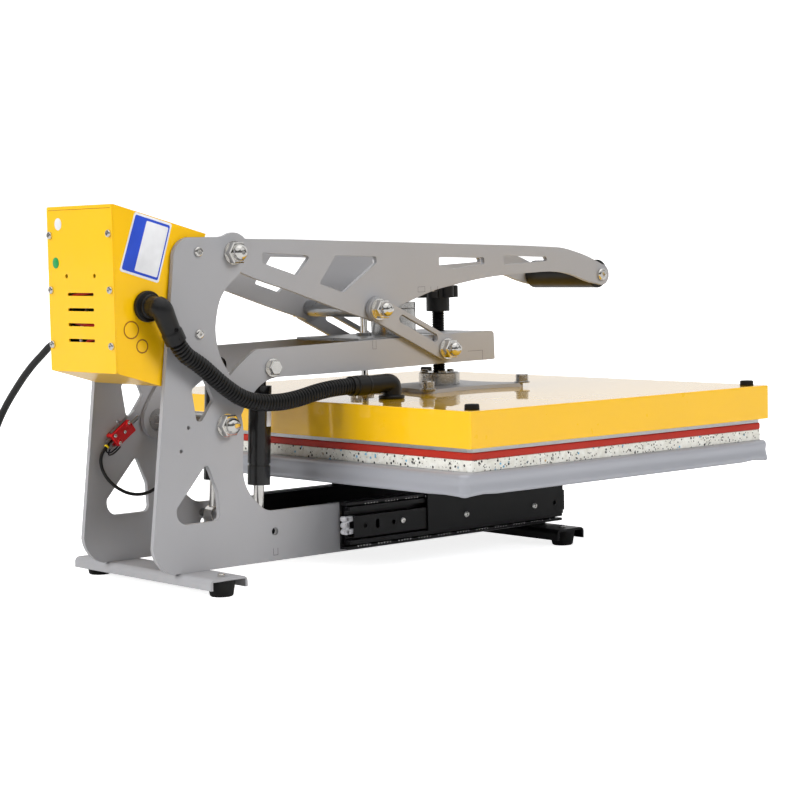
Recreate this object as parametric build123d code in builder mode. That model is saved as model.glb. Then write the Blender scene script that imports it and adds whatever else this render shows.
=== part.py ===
from build123d import *
from math import atan2, cos, degrees, hypot, pi, radians, sin, tan
import os

os.makedirs("parts", exist_ok=True)

# ---------------------------------------------------------------------------
# Clamshell heat press, millimetres. X is the width, -Y the operator's side,
# +Y the control box side, Z up, floor at Z = 0.
# Side profiles are given as (y, z) measured from the pivot datum, and Y0
# carries that datum to the middle of the footprint.
# ---------------------------------------------------------------------------
Y0 = 204.0

FRAME_T = 5.0            # thickness of every laser-cut plate
SIDE_X = 59.0            # outer face of the frame side plates and of the links
LEVER_X = 53.0           # outer face of the lever plates and the arm plates
BOX_HALF = 53.0          # half width of the control box
RAIL_LOW, RAIL_TOP = 17.4, 64.2

PIVOT_A = (-9.0, 304.0)      # lever on frame
PIVOT_B = (4.0, 147.5)       # arm on frame
PIVOT_C = (-181.5, 247.0)    # link on lever
PIVOT_D = (-269.5, 205.0)    # link on arm
PIVOT_E = (-55.0, 197.0)     # gas spring on arm
PIVOT_F = (-48.0, 54.0)      # gas spring on frame
SHAFT_D = 12.0               # lever and arm pivots
LINK_PIN_D = 10.0            # link pivots
RUN = 0.05                   # radial running clearance

SCREW_Y = -312.0             # adjusting screw and platen mount
GUIDE_Y = -212.0             # guide rod
MAGNET_Y = -251.0            # electromagnet
SCREW_D = 13.0

PLATEN_Y = -321.0            # middle of the heated platen
COVER_W, COVER_D, COVER_Z0, COVER_Z1 = 512.0, 410.0, 127.6, 161.0
PLATE_W, PLATE_D, PLATE_Z0, PLATE_Z1 = 500.0, 400.0, 123.7, 141.0
SHEET_T = 1.5

TRAY_Y = -317.0
TRAY_W, TRAY_D, TRAY_Z0, TRAY_Z1 = 514.0, 422.0, 85.0, 106.0
FOAM_Z1, SILICONE_Z1 = 116.6, 123.3

SLIDE_Z0, SLIDE_Z1 = 20.0, 65.0
SLIDE_Y0, SLIDE_Y1 = -417.0, -127.0

HOSE_D = 16.0
HOSE_X = -73.0
CORD_D = 7.0
LEAD_D = 3.2


def yz(*pts):
    """Side-profile points carried to the model frame."""
    return [(y + Y0, z) for y, z in pts]


def at(y, z):
    return (y + Y0, z)


def side(x):
    """Plane square to X at x, its own x along +Y and its own y along Z."""
    return Plane.YZ.offset(x)


def outward(x, y, z):
    """Plane at a side face, looking away from the middle of the machine."""
    return Plane(origin=(x, y + Y0, z), x_dir=(0, 1, 0), z_dir=(1 if x > 0 else -1, 0, 0))


def floor_plane(x, y, z):
    return Plane(origin=(x, y + Y0, z), x_dir=(1, 0, 0), z_dir=(0, 0, 1))


def route_radii(pts, share=0.45):
    """As large an arc at every inner point as its two runs allow."""
    radii = []
    for a, b, c in zip(pts, pts[1:], pts[2:]):
        u, v = Vector(*b) - Vector(*a), Vector(*c) - Vector(*b)
        turn = radians(u.get_angle(v))
        radii.append(share * min(u.length, v.length) / tan(turn / 2))
    return radii


# ---------------------------------------------------------------------------
# Fasteners used more than once (axis +Z, seat at Z = 0)
# ---------------------------------------------------------------------------
with BuildPart() as dome_nut_m12:
    with BuildSketch(Plane.XY):
        Circle(10.8)
    extrude(amount=1.6)
    with BuildSketch(Plane.XY.offset(1.6)):
        RegularPolygon(radius=9.4, side_count=6, major_radius=False)
    extrude(amount=7.4)
    chamfer(dome_nut_m12.edges().group_by(Axis.Z)[-1], length=0.9)
    with BuildSketch(Plane.XY.offset(9.0)):
        Circle(7.6)
    extrude(amount=6.4)
    fillet(dome_nut_m12.edges().group_by(Axis.Z)[-1], radius=5.6)

with BuildPart() as dome_nut_m10:
    with BuildSketch(Plane.XY):
        Circle(10.5)
    extrude(amount=2.0)
    with BuildSketch(Plane.XY.offset(2.0)):
        RegularPolygon(radius=8.5, side_count=6, major_radius=False)
    extrude(amount=8.0)
    chamfer(dome_nut_m10.edges().group_by(Axis.Z)[-1], length=0.9)
    with BuildSketch(Plane.XY.offset(10.0)):
        Circle(7.2)
    extrude(amount=7.6)
    fillet(dome_nut_m10.edges().group_by(Axis.Z)[-1], radius=5.8)

with BuildPart() as button_head_m5:
    with BuildSketch(Plane.XY):
        Circle(4.6)
    extrude(amount=2.7)
    fillet(button_head_m5.edges().group_by(Axis.Z)[-1], radius=1.7)
    with BuildSketch(Plane.XY.offset(2.7)):
        RegularPolygon(radius=1.6, side_count=6)
    extrude(amount=-1.7, mode=Mode.SUBTRACT)

with BuildPart() as pan_head_m4:
    with BuildSketch(Plane.XY):
        Circle(3.5)
    extrude(amount=2.7)
    fillet(pan_head_m4.edges().group_by(Axis.Z)[-1], radius=1.5)
    with BuildSketch(Plane.XY.offset(2.7)):
        Rectangle(3.2, 0.8)
        Rectangle(0.8, 3.2)
    extrude(amount=-1.6, mode=Mode.SUBTRACT)

with BuildPart() as hex_head_m8:
    with BuildSketch(Plane.XY):
        Circle(8.6)
    extrude(amount=1.6)
    with BuildSketch(Plane.XY.offset(1.6)):
        RegularPolygon(radius=6.5, side_count=6, major_radius=False)
    extrude(amount=5.4)
    chamfer(hex_head_m8.edges().group_by(Axis.Z)[-1], length=0.8)

with BuildPart() as socket_head_m8:
    with BuildSketch(Plane.XY):
        Circle(8.0)
    extrude(amount=1.6)
    with BuildSketch(Plane.XY.offset(1.6)):
        Circle(6.5)
    extrude(amount=7.4)
    chamfer(socket_head_m8.edges().group_by(Axis.Z)[-1], length=0.7)
    with BuildSketch(Plane.XY.offset(9.0)):
        RegularPolygon(radius=3.3, side_count=6)
    extrude(amount=-4.5, mode=Mode.SUBTRACT)

# ---------------------------------------------------------------------------
# Frame: side plates with their forward rails
# ---------------------------------------------------------------------------
LOWER_WINDOW = [(26.8, 115.0), (15.2, 88.0), (13.4, 61.0), (61.0, 61.0), (61.4, 76.0)]
with BuildPart() as side_plate_left:
    with BuildSketch(side(-SIDE_X)):
        with BuildLine():
            Line(*yz((-404, RAIL_LOW), (66.6, RAIL_LOW)))
            ThreePointArc(*yz((66.6, RAIL_LOW), (79.6, 25.2), (87.4, 42.0)))
            Line(*yz((87.4, 42.0), (57.6, 298.0)))
            ThreePointArc(*yz((57.6, 298.0), (53.2, 311.6), (41.0, 318.6)))
            Line(*yz((41.0, 318.6), (8.0, 318.6)))
            Spline(*yz((8.0, 318.6), (-1.0, 320.2), (-9.0, 322.5)),
                   tangents=[(-1, 0), (-1, 0)])
            ThreePointArc(*yz((-9.0, 322.5), (-27.5, 304.0), (-18.0, 287.8)))
            Spline(*yz((-18.0, 287.8), (-8.1, 279.0), (-0.7, 272.8), (4.6, 266.6),
                       (9.2, 256.9), (11.5, 248.4), (13.2, 236.0), (11.7, 220.6),
                       (7.7, 208.8), (3.0, 200.5)))
            Line(*yz((3.0, 200.5), (-18.2, 163.6)))
            Line(*yz((-18.2, 163.6), (-13.3, 156.1)))
            Spline(*yz((-13.3, 156.1), (-15.4, 140.1), (-14.2, 119.7), (-13.7, 105.2),
                       (-15.6, 93.5), (-22.4, 80.8), (-33.7, 69.6), (-48.0, RAIL_TOP)),
                   tangents=[(-0.2, -1), (-1, -0.15)])
            Line(*yz((-48.0, RAIL_TOP), (-404, RAIL_TOP)))
            Polyline(*yz((-404, RAIL_TOP), (-412, RAIL_TOP - 8), (-412, RAIL_LOW + 8),
                         (-404, RAIL_LOW)))
        make_face()
    extrude(amount=FRAME_T)
    with BuildSketch(side(-SIDE_X)) as upper_window:
        with BuildLine():
            Polyline(*yz((41.7, 182.4), (26.4, 191.9), (17.3, 171.6), (35.9, 146.8)), close=True)
        make_face()
        fillet(upper_window.vertices(), radius=4)
    extrude(amount=FRAME_T, mode=Mode.SUBTRACT)
    with BuildSketch(side(-SIDE_X)) as lower_window:
        with BuildLine():
            Polyline(*yz(*LOWER_WINDOW), close=True)
        make_face()
        for (wy, wz), wr in zip(LOWER_WINDOW, (3.0, 8.0, 6.0, 11.5, 5.0)):
            fillet(lower_window.vertices().sort_by_distance((wy + Y0, wz, 0))[0], radius=wr)
    extrude(amount=FRAME_T, mode=Mode.SUBTRACT)
    with BuildSketch(side(-SIDE_X)):
        with Locations(at(*PIVOT_A), at(*PIVOT_B)):
            Circle(SHAFT_D / 2)
        with Locations(at(-49.0, 44.9)):
            Circle(3.7)
        with Locations(at(46.0, 148.2), at(54.8, 127.6)):
            Circle(1.8)
        with Locations(at(30.4, 305.6), at(31.6, 231.7)):
            Circle(2.5)
    extrude(amount=FRAME_T, mode=Mode.SUBTRACT)

with BuildPart() as side_plate_right:
    mirror(side_plate_left.part, about=Plane.YZ)

# Inverted channels that the frame stands on
CHANNEL_X = 110.0
WEB_Z = 14.9
with BuildPart() as rear_foot_channel:
    with BuildSketch(Plane.XZ.offset(-(62.8 + Y0))):
        with BuildLine():
            Polyline((-CHANNEL_X, 7.5), (CHANNEL_X, 7.5), (CHANNEL_X, RAIL_LOW),
                     (-CHANNEL_X, RAIL_LOW), close=True)
        make_face()
    extrude(amount=40.5)
    fillet(rear_foot_channel.edges().filter_by(Axis.X).group_by(Axis.Z)[-1], radius=5.0)
    with BuildSketch(Plane(origin=(0, 42.55 + Y0, 7.5))):
        Rectangle(2 * CHANNEL_X, 40.5 - 5.0)
    extrude(amount=WEB_Z - 7.5, mode=Mode.SUBTRACT)

with BuildPart() as front_foot_channel:
    with BuildSketch(Plane.XZ.offset(-(-370.0 + Y0))):
        with BuildLine():
            Polyline((-CHANNEL_X, 6.5), (CHANNEL_X, 6.5), (CHANNEL_X, RAIL_LOW),
                     (-CHANNEL_X, RAIL_LOW), close=True)
        make_face()
    extrude(amount=38.0)
    fillet(front_foot_channel.edges().filter_by(Axis.X).group_by(Axis.Z)[-1], radius=4.6)
    with BuildSketch(Plane(origin=(0, -389.0 + Y0, 6.5))):
        Rectangle(2 * CHANNEL_X, 38.0 - 5.0)
    extrude(amount=WEB_Z - 6.5, mode=Mode.SUBTRACT)

FEET = [(-98.0, 42.6), (98.0, 42.6), (-98.0, -389.0), (98.0, -389.0)]
with BuildPart() as rubber_feet:
    for fx, fy in FEET:
        with BuildSketch(Plane(origin=(fx, fy + Y0, 0))):
            Circle(10.4)
        with BuildSketch(Plane(origin=(fx, fy + Y0, WEB_Z))):
            Circle(13.0)
        loft()
    chamfer(rubber_feet.edges().group_by(Axis.Z)[0], length=1.0)

PANEL_SCREWS = [(sx, z) for sx in (-48.0, 48.0) for z in (323.0, 273.5, 224.3)]
with BuildPart() as frame_screws:
    with Locations(*[floor_plane(fx, fy, RAIL_LOW) for fx, fy in FEET]):
        add(pan_head_m4.part)
    with Locations(*[Plane(origin=(sx, 117.3 + Y0, z), x_dir=(1, 0, 0), z_dir=(0, 1, 0))
                     for sx, z in PANEL_SCREWS]):
        add(pan_head_m4.part)
    with Locations(*[outward(sx, y, z) for sx in (-SIDE_X, SIDE_X)
                     for y, z in ((30.4, 305.6), (31.6, 231.7))]):
        add(button_head_m5.part)

# Black pan that joins the two rails on their inner faces
PAN_T = 1.5
with BuildPart() as rail_pan:
    with BuildSketch(Plane.XZ.offset(-(-117.0 + Y0))):
        with BuildLine():
            Polyline((-54, 18.2), (54, 18.2), (54, RAIL_TOP + 0.6), (54 - PAN_T, RAIL_TOP + 0.6),
                     (54 - PAN_T, 18.2 + PAN_T), (-54 + PAN_T, 18.2 + PAN_T),
                     (-54 + PAN_T, RAIL_TOP + 0.6), (-54, RAIL_TOP + 0.6), close=True)
        make_face()
    extrude(amount=290.0)

# ---------------------------------------------------------------------------
# Drawer slides: fixed outer members on the rails' outer faces
# ---------------------------------------------------------------------------
SLIDE_L = SLIDE_Y1 - SLIDE_Y0
with BuildPart() as slide_outer_members:
    for s in (-1, 1):
        with BuildSketch(Plane.XZ.offset(-(SLIDE_Y1 + Y0))):
            with BuildLine():
                Polyline((s * 59.0, SLIDE_Z0), (s * 70.4, SLIDE_Z0), (s * 70.4, SLIDE_Z0 + 2.6),
                         (s * 60.3, SLIDE_Z0 + 2.6), (s * 60.3, SLIDE_Z1 - 2.6),
                         (s * 70.4, SLIDE_Z1 - 2.6), (s * 70.4, SLIDE_Z1), (s * 59.0, SLIDE_Z1),
                         close=True)
            make_face()
        extrude(amount=SLIDE_L)

with BuildPart() as slide_middle_members:
    for s in (-1, 1):
        with BuildSketch(Plane.XZ.offset(-(-130.0 + Y0))):
            with BuildLine():
                Polyline((s * 61.2, 24.4), (s * 70.6, 24.4), (s * 70.6, 28.6), (s * 62.6, 28.6),
                         (s * 62.6, 56.4), (s * 70.6, 56.4), (s * 70.6, 60.6), (s * 61.2, 60.6),
                         close=True)
            make_face()
        extrude(amount=287.0)

with BuildPart() as slide_inner_members:
    for s in (-1, 1):
        with BuildSketch(Plane.XZ.offset(-(-134.0 + Y0))):
            with BuildLine():
                Polyline((s * 64.0, 31.0), (s * 72.0, 31.0), (s * 72.0, 51.6), (s * 64.0, 51.6),
                         (s * 64.0, 50.2), (s * 70.6, 50.2), (s * 70.6, 32.4), (s * 64.0, 32.4),
                         close=True)
            make_face()
        extrude(amount=285.0)
        with BuildSketch(Plane.YZ.offset(s * 70.0)):
            with Locations(at(-148.0, 41.6), at(-184.0, 41.6)):
                Circle(2.2)
            with Locations(at(-163.5, 42.0)):
                SlotOverall(8.6, 4.6, rotation=90)
        extrude(amount=s * 3.0, mode=Mode.SUBTRACT)

# ---------------------------------------------------------------------------
# Control box: wedge shell, back panel, sloping control panel
# ---------------------------------------------------------------------------
BOX_BACK_TOP, BOX_BACK_LOW = (115.8, 348.6), (115.8, 200.2)
BOX_FRONT_LOW, BOX_FRONT_TOP = (67.2, 185.9), (17.1, 321.6)
BOX_WALL = 1.5
TOP_ANGLE = atan2(BOX_BACK_TOP[1] - BOX_FRONT_TOP[1], BOX_BACK_TOP[0] - BOX_FRONT_TOP[0])
ELBOW_AT = (83.5, 258.2)
CORD_AT = (95.0, 223.5)
ROCKER_AT = (90.0, 290.0)
PANEL_W, PANEL_L, PANEL_T = 88.0, 82.0, 1.2


def on_top(x, u, lift=0.0):
    """Plane on the sloping top, u along it from the front edge."""
    y = BOX_FRONT_TOP[0] + u * cos(TOP_ANGLE) - lift * sin(TOP_ANGLE)
    z = BOX_FRONT_TOP[1] + u * sin(TOP_ANGLE) + lift * cos(TOP_ANGLE)
    return Plane(origin=(x, y + Y0, z), x_dir=(1, 0, 0), z_dir=(0, -sin(TOP_ANGLE), cos(TOP_ANGLE)))


BUTTONS = {"button_mode": -26.0, "button_down": 0.0, "button_up": 26.0}
BUTTON_U = 30.0

with BuildPart() as control_box_shell:
    with BuildSketch(side(-BOX_HALF)) as box_outline:
        with BuildLine():
            Polyline(*yz(BOX_BACK_TOP, BOX_BACK_LOW, BOX_FRONT_LOW, BOX_FRONT_TOP), close=True)
        make_face()
        fillet(box_outline.vertices().sort_by(Axis.Y)[:2], radius=3)
    extrude(amount=2 * BOX_HALF)
    with BuildSketch(side(-BOX_HALF + BOX_WALL)):
        with BuildLine():
            Polyline(*yz((BOX_BACK_TOP[0] + 1, BOX_BACK_TOP[1] - 1.6),
                         (BOX_BACK_LOW[0] + 1, BOX_BACK_LOW[1] + 1.9),
                         (BOX_FRONT_LOW[0] + 1.1, BOX_FRONT_LOW[1] + 1.9),
                         (BOX_FRONT_TOP[0] + 2.1, BOX_FRONT_TOP[1] - 1.3)), close=True)
        make_face()
    extrude(amount=2 * (BOX_HALF - BOX_WALL), mode=Mode.SUBTRACT)
    with BuildSketch(Plane.YZ.offset(BOX_HALF - 3)):
        with Locations(at(*ROCKER_AT)):
            Rectangle(20.0, 27.0)
        with Locations(at(*CORD_AT)):
            Circle(6.0)
    extrude(amount=6, mode=Mode.SUBTRACT)
    with BuildSketch(Plane.YZ.offset(-BOX_HALF - 3)):
        with Locations(at(*ELBOW_AT)):
            Circle(8.0)
    extrude(amount=6, mode=Mode.SUBTRACT)
    for bx in BUTTONS.values():
        with BuildSketch(on_top(bx, BUTTON_U, -4)):
            Circle(4.9)
        extrude(amount=8, mode=Mode.SUBTRACT)
    with BuildSketch(on_top(0, 62, -4)):
        Rectangle(48, 19)
    extrude(amount=8, mode=Mode.SUBTRACT)

with BuildPart() as box_back_panel:
    with BuildSketch(Plane.XZ.offset(-(117.3 + Y0))):
        with Locations((0, (BOX_BACK_TOP[1] + BOX_BACK_LOW[1]) / 2)):
            RectangleRounded(2 * BOX_HALF, BOX_BACK_TOP[1] - BOX_BACK_LOW[1], 2.0)
        for slot_z in (269.7, 256.0, 242.5, 228.5):
            with Locations((0.6, slot_z)):
                SlotOverall(42.4, 2.7, mode=Mode.SUBTRACT)
        with Locations((-22.8, 286.0), (22.8, 286.0)):
            Circle(2.0, mode=Mode.SUBTRACT)
    extrude(amount=BOX_WALL)

with BuildPart() as control_panel:
    with BuildSketch(on_top(0, 48)) as panel_face:
        RectangleRounded(PANEL_W, PANEL_L, 4)
        for bx in BUTTONS.values():
            with Locations((bx, BUTTON_U - 48)):
                Circle(4.9, mode=Mode.SUBTRACT)
    extrude(amount=PANEL_T)
    with BuildSketch(on_top(0, 62, PANEL_T)):
        RectangleRounded(56, 27, 2)
    extrude(amount=1.2)
    with BuildSketch(on_top(0, 62, PANEL_T + 1.2)):
        Rectangle(46, 17)
    extrude(amount=-0.8, mode=Mode.SUBTRACT)
    with BuildSketch(on_top(0, 62)):
        Rectangle(47.5, 18.5)
    extrude(amount=-5)

buttons = {}
for label, bx in BUTTONS.items():
    with BuildPart() as button:
        with BuildSketch(on_top(bx, BUTTON_U, -5)):
            Circle(4.5)
        extrude(amount=8.6)
        fillet(button.edges().sort_by(Axis.Z)[-1], radius=0.8)
        with BuildSketch(on_top(bx, BUTTON_U, -6.5)):
            Circle(6.5)
        extrude(amount=1.5)
    buttons[label] = button

# Rocker switch on the far side, pivoting about Y
with BuildPart() as power_rocker:
    with BuildSketch(Plane.XZ.offset(-(ROCKER_AT[0] + 8.5 + Y0))):
        with BuildLine():
            Polyline((BOX_HALF - 8, ROCKER_AT[1] - 11), (BOX_HALF + 4.6, ROCKER_AT[1] - 11.5),
                     (BOX_HALF + 2.2, ROCKER_AT[1]), (BOX_HALF + 4.6, ROCKER_AT[1] + 11.5),
                     (BOX_HALF - 8, ROCKER_AT[1] + 11), close=True)
        make_face()
    extrude(amount=17.0)

# Board on four stand-offs behind the back panel, with its relay and transformer
with BuildPart() as circuit_board:
    with BuildSketch(Plane.XZ.offset(-(100.0 + Y0))):
        with Locations((0, 270.0)):
            Rectangle(84.0, 92.0)
    extrude(amount=1.6)
    with BuildSketch(Plane.XZ.offset(-(115.8 + Y0))):
        with Locations((-37, 230), (37, 230), (-37, 310), (37, 310)):
            Circle(3.2)
    extrude(amount=15.78)
    with BuildSketch(Plane.XZ.offset(-(98.38 + Y0))):
        with Locations((-22, 252)):
            Rectangle(30, 26)
        with Locations((20, 292)):
            Rectangle(28, 16)
        with Locations((20, 240)):
            Rectangle(36, 12)
    extrude(amount=16.0)

# Tapered strain relief, its round flange against the box side
RELIEF_END = BOX_HALF + 18.0
with BuildPart() as strain_relief:
    with BuildSketch(Plane.YZ.offset(BOX_HALF)):
        with Locations(at(*CORD_AT)):
            Circle(8.6)
    extrude(amount=3.0)
    with BuildSketch(Plane.YZ.offset(BOX_HALF)):
        with Locations(at(*CORD_AT)):
            Circle(5.9)
    extrude(amount=-5.0)
    with BuildSketch(Plane.YZ.offset(BOX_HALF + 3.0)):
        with Locations(at(*CORD_AT)):
            Circle(6.8)
    with BuildSketch(Plane.YZ.offset(RELIEF_END)):
        with Locations(at(*CORD_AT)):
            Circle(4.6)
    loft()

# ---------------------------------------------------------------------------
# Pivot shafts fixed in the side plates, with dome nuts; lower spring rod
# ---------------------------------------------------------------------------
with BuildPart() as pivot_bolts:
    with BuildSketch(side(-SIDE_X + 0.02)):
        with Locations(at(*PIVOT_A), at(*PIVOT_B)):
            Circle(SHAFT_D / 2)
    extrude(amount=2 * (SIDE_X - 0.02))
    with Locations(*[outward(sx, *p) for sx in (-SIDE_X, SIDE_X) for p in (PIVOT_A, PIVOT_B)]):
        add(dome_nut_m12.part)

ANCHOR_D = 8.0
with BuildPart() as spring_anchor_rod:
    with BuildSketch(side(-54)):
        with Locations(at(*PIVOT_F)):
            Circle(ANCHOR_D / 2)
    extrude(amount=108)
    with BuildSketch(side(-28.6)):
        with Locations(at(*PIVOT_F)):
            Circle(6.5)
    extrude(amount=57.2)

# Micro-switch on the inner face of the right side plate
SWITCH_C = (46.5, 138.3)
SWITCH_ANGLE = -35.6
SU = (cos(radians(SWITCH_ANGLE)), sin(radians(SWITCH_ANGLE)))
SN = (-SU[1], SU[0])


def switch_point(u, n):
    return (SWITCH_C[0] + u * SU[0] + n * SN[0], SWITCH_C[1] + u * SU[1] + n * SN[1])


with BuildPart() as micro_switch:
    with BuildSketch(Plane(origin=(44.0, SWITCH_C[0] + Y0, SWITCH_C[1]),
                           x_dir=(0, SU[0], SU[1]), z_dir=(1, 0, 0))):
        RectangleRounded(24.0, 13.0, 1.0)
    extrude(amount=10.0)
    with BuildSketch(Plane(origin=(49.0, SWITCH_C[0] + Y0 - 12 * SU[0], SWITCH_C[1] - 12 * SU[1]),
                           x_dir=(1, 0, 0), z_dir=(0, SU[0], SU[1]))):
        Circle(2.3)
    extrude(amount=8.0, mode=Mode.SUBTRACT)
    with Locations(*[Plane(origin=(44.0, switch_point(u, n)[0] + Y0, switch_point(u, n)[1]),
                           x_dir=(0, 1, 0), z_dir=(-1, 0, 0)) for u, n in ((-8.5, 3.6), (8.5, -3.6))]):
        add(button_head_m5.part.scale(0.6))

PLUNGER_OUT = 13.0
with BuildPart() as micro_switch_plunger:
    with BuildSketch(Plane(origin=(49.0, SWITCH_C[0] + Y0 - (12 + PLUNGER_OUT) * SU[0],
                                   SWITCH_C[1] - (12 + PLUNGER_OUT) * SU[1]),
                           x_dir=(1, 0, 0), z_dir=(0, SU[0], SU[1]))):
        Circle(2.0)
    extrude(amount=PLUNGER_OUT + 5.0)
    fillet(micro_switch_plunger.edges().sort_by(Axis.Y)[0], radius=1.4)

# Two-core lead from the switch, down inside the right plate, across and up to the box
LEAD_ROUTE = [(49.0, *switch_point(12.0, 0)), (49.0, *switch_point(21.0, 0)), (48.4, 70.8, 117.4),
              (47.2, 70.0, 104.4), (45.5, 61.0, 91.2), (43.0, 44.6, 80.6), (40.0, 26.0, 79.0),
              (37.0, 9.6, 88.0), (30.0, -2.5, 99.0), (14.0, -7.0, 108.0), (-5.0, -3.0, 114.5),
              (-22.0, 6.5, 122.5), (-32.0, 18.0, 134.5), (-34.5, 26.5, 151.0), (-35.0, 30.6, 170.0),
              (-35.5, 37.4, 187.6), (-36.0, 49.0, 199.0)]
LEAD_ROUTE = [(x, y + Y0, z) for x, y, z in LEAD_ROUTE]
FRONT_SLOPE = (BOX_FRONT_TOP[0] - BOX_FRONT_LOW[0]) / (BOX_FRONT_TOP[1] - BOX_FRONT_LOW[1])
LEAD_END_Z = 206.0
LEAD_ROUTE.append((-36.5, BOX_FRONT_LOW[0] + (LEAD_END_Z - BOX_FRONT_LOW[1]) * FRONT_SLOPE - 0.8 + Y0,
                   LEAD_END_Z))
lead_radii = route_radii(LEAD_ROUTE)
print("switch lead radii", [round(r, 1) for r in lead_radii])
with BuildPart() as switch_lead:
    with BuildLine() as lead_line:
        FilletPolyline(*LEAD_ROUTE, radius=lead_radii)
    with BuildSketch(Plane(origin=lead_line.line @ 0, z_dir=lead_line.line % 0)):
        Circle(LEAD_D / 2)
    sweep()

# ---------------------------------------------------------------------------
# Lever: two plates, tubes, bridge with armature, grip
# ---------------------------------------------------------------------------
with BuildPart() as lever_plate_left:
    with BuildSketch(side(-LEVER_X)):
        with BuildLine():
            Line(*yz((-9.0, 318.0), (-30.0, 316.6)))
            Spline(*yz((-30.0, 316.6), (-79.5, 315.6), (-127.6, 313.9), (-202.8, 311.6),
                       (-322.8, 307.6), (-434.1, 303.2)),
                   tangents=[(-1, -0.03), (-1, -0.06)])
            Spline(*yz((-434.1, 303.2), (-451.3, 300.5), (-489.0, 289.4), (-500.8, 284.3)),
                   tangents=[(-1, -0.06), (-1, -0.5)])
            ThreePointArc(*yz((-500.8, 284.3), (-511.0, 273.4), (-500.4, 262.3)))
            Spline(*yz((-500.4, 262.3), (-489.2, 264.4), (-475.0, 267.9), (-462.0, 272.3), (-437.6, 277.4),
                       (-424.3, 278.2), (-393.0, 277.6), (-359.7, 276.2), (-322.0, 273.1),
                       (-281.6, 267.1), (-260.9, 263.4), (-241.5, 258.0), (-212.1, 249.2)))
            Line(*yz((-212.1, 249.2), (-188.2, 237.0)))
            ThreePointArc(*yz((-188.2, 237.0), (-181.5, 235.0), (-174.6, 237.2)))
            Spline(*yz((-174.6, 237.2), (-158.1, 242.1), (-108.3, 257.9), (-78.0, 268.0),
                       (-38.8, 279.7), (-12.0, 290.3)))
            ThreePointArc(*yz((-12.0, 290.3), (4.95, 302.8), (-9.0, 318.0)))
        make_face()
    extrude(amount=FRAME_T)
    with BuildSketch(side(-LEVER_X)) as lever_windows:
        with BuildLine():
            Polyline(*yz((-46.0, 303.6), (-46.6, 294.0), (-86.8, 281.8), (-102.6, 298.6),
                         (-97.0, 300.6)), close=True)
        make_face()
        with BuildLine():
            Polyline(*yz((-134.0, 299.6), (-184.6, 297.8), (-185.4, 292.0), (-143.2, 264.2),
                         (-113.6, 273.4)), close=True)
        make_face()
        with BuildLine():
            Polyline(*yz((-266.4, 295.8), (-328.0, 294.6), (-328.6, 288.0), (-286.0, 283.8),
                         (-266.8, 287.6)), close=True)
        make_face()
        with BuildLine():
            Polyline(*yz((-355.6, 295.8), (-416.6, 293.6), (-418.6, 289.4), (-356.0, 286.6)), close=True)
        make_face()
        fillet(lever_windows.vertices(), radius=1.6)
    extrude(amount=FRAME_T, mode=Mode.SUBTRACT)
    with BuildSketch(side(-LEVER_X)):
        with Locations(at(*PIVOT_A)):
            Circle(SHAFT_D / 2 + RUN)
        with Locations(at(*PIVOT_C)):
            Circle(LINK_PIN_D / 2)
    extrude(amount=FRAME_T, mode=Mode.SUBTRACT)

with BuildPart() as lever_plate_right:
    mirror(lever_plate_left.part, about=Plane.YZ)

INNER_X = LEVER_X - FRAME_T
with BuildPart() as lever_cross_tubes:
    with BuildSketch(side(-INNER_X)):
        with Locations(at(*PIVOT_C)):
            Circle(8.0)
    extrude(amount=2 * INNER_X)
    with BuildSketch(side(-LEVER_X)):
        with Locations(at(*PIVOT_C)):
            Circle(LINK_PIN_D / 2)
    extrude(amount=2 * LEVER_X)
    with BuildSketch(side(-INNER_X)):
        with Locations(at(*PIVOT_A)):
            Circle(10.0)
            Circle(SHAFT_D / 2 + RUN, mode=Mode.SUBTRACT)
    extrude(amount=2 * INNER_X)

with BuildPart() as lever_bridge:
    with BuildSketch(Plane(origin=(0, MAGNET_Y + Y0, 262.0))):
        Rectangle(2 * INNER_X, 26.0)
        Circle(4.0, mode=Mode.SUBTRACT)
    extrude(amount=5.0)

with BuildPart() as armature_disc:
    with BuildSketch(Plane(origin=(0, MAGNET_Y + Y0, 245.6))):
        Circle(22.5)
    extrude(amount=5.9)
    chamfer(armature_disc.edges().group_by(Axis.Z)[-1], length=0.8)
    with BuildSketch(Plane(origin=(0, MAGNET_Y + Y0, 251.5))):
        Circle(4.0)
    extrude(amount=15.5)
    with BuildSketch(Plane(origin=(0, MAGNET_Y + Y0, 255.5))):
        RegularPolygon(radius=6.5, side_count=6, major_radius=False)
    extrude(amount=6.5)
    with BuildSketch(Plane(origin=(0, MAGNET_Y + Y0, 267.0))):
        RegularPolygon(radius=6.5, side_count=6, major_radius=False)
    extrude(amount=5.0)

# Round grip across the lever's end, held by a bolt at each side
GRIP_HALF = INNER_X - 0.1
GRIP_C, GRIP_D = (-500.0, 274.4), 30.0
with BuildPart() as handle_grip:
    with BuildSketch(side(-GRIP_HALF)):
        with Locations(at(*GRIP_C)):
            Circle(GRIP_D / 2)
    extrude(amount=2 * GRIP_HALF)
    fillet(handle_grip.edges().group_by(Axis.X)[0], radius=1.6)
    fillet(handle_grip.edges().group_by(Axis.X)[-1], radius=1.6)

GRIP_BOLTS = [(-499.2, 273.6)]
with BuildPart() as grip_bolts:
    with Locations(*[outward(sx, y, z) for sx in (-LEVER_X, LEVER_X) for y, z in GRIP_BOLTS]):
        add(button_head_m5.part.scale(1.4))

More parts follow.
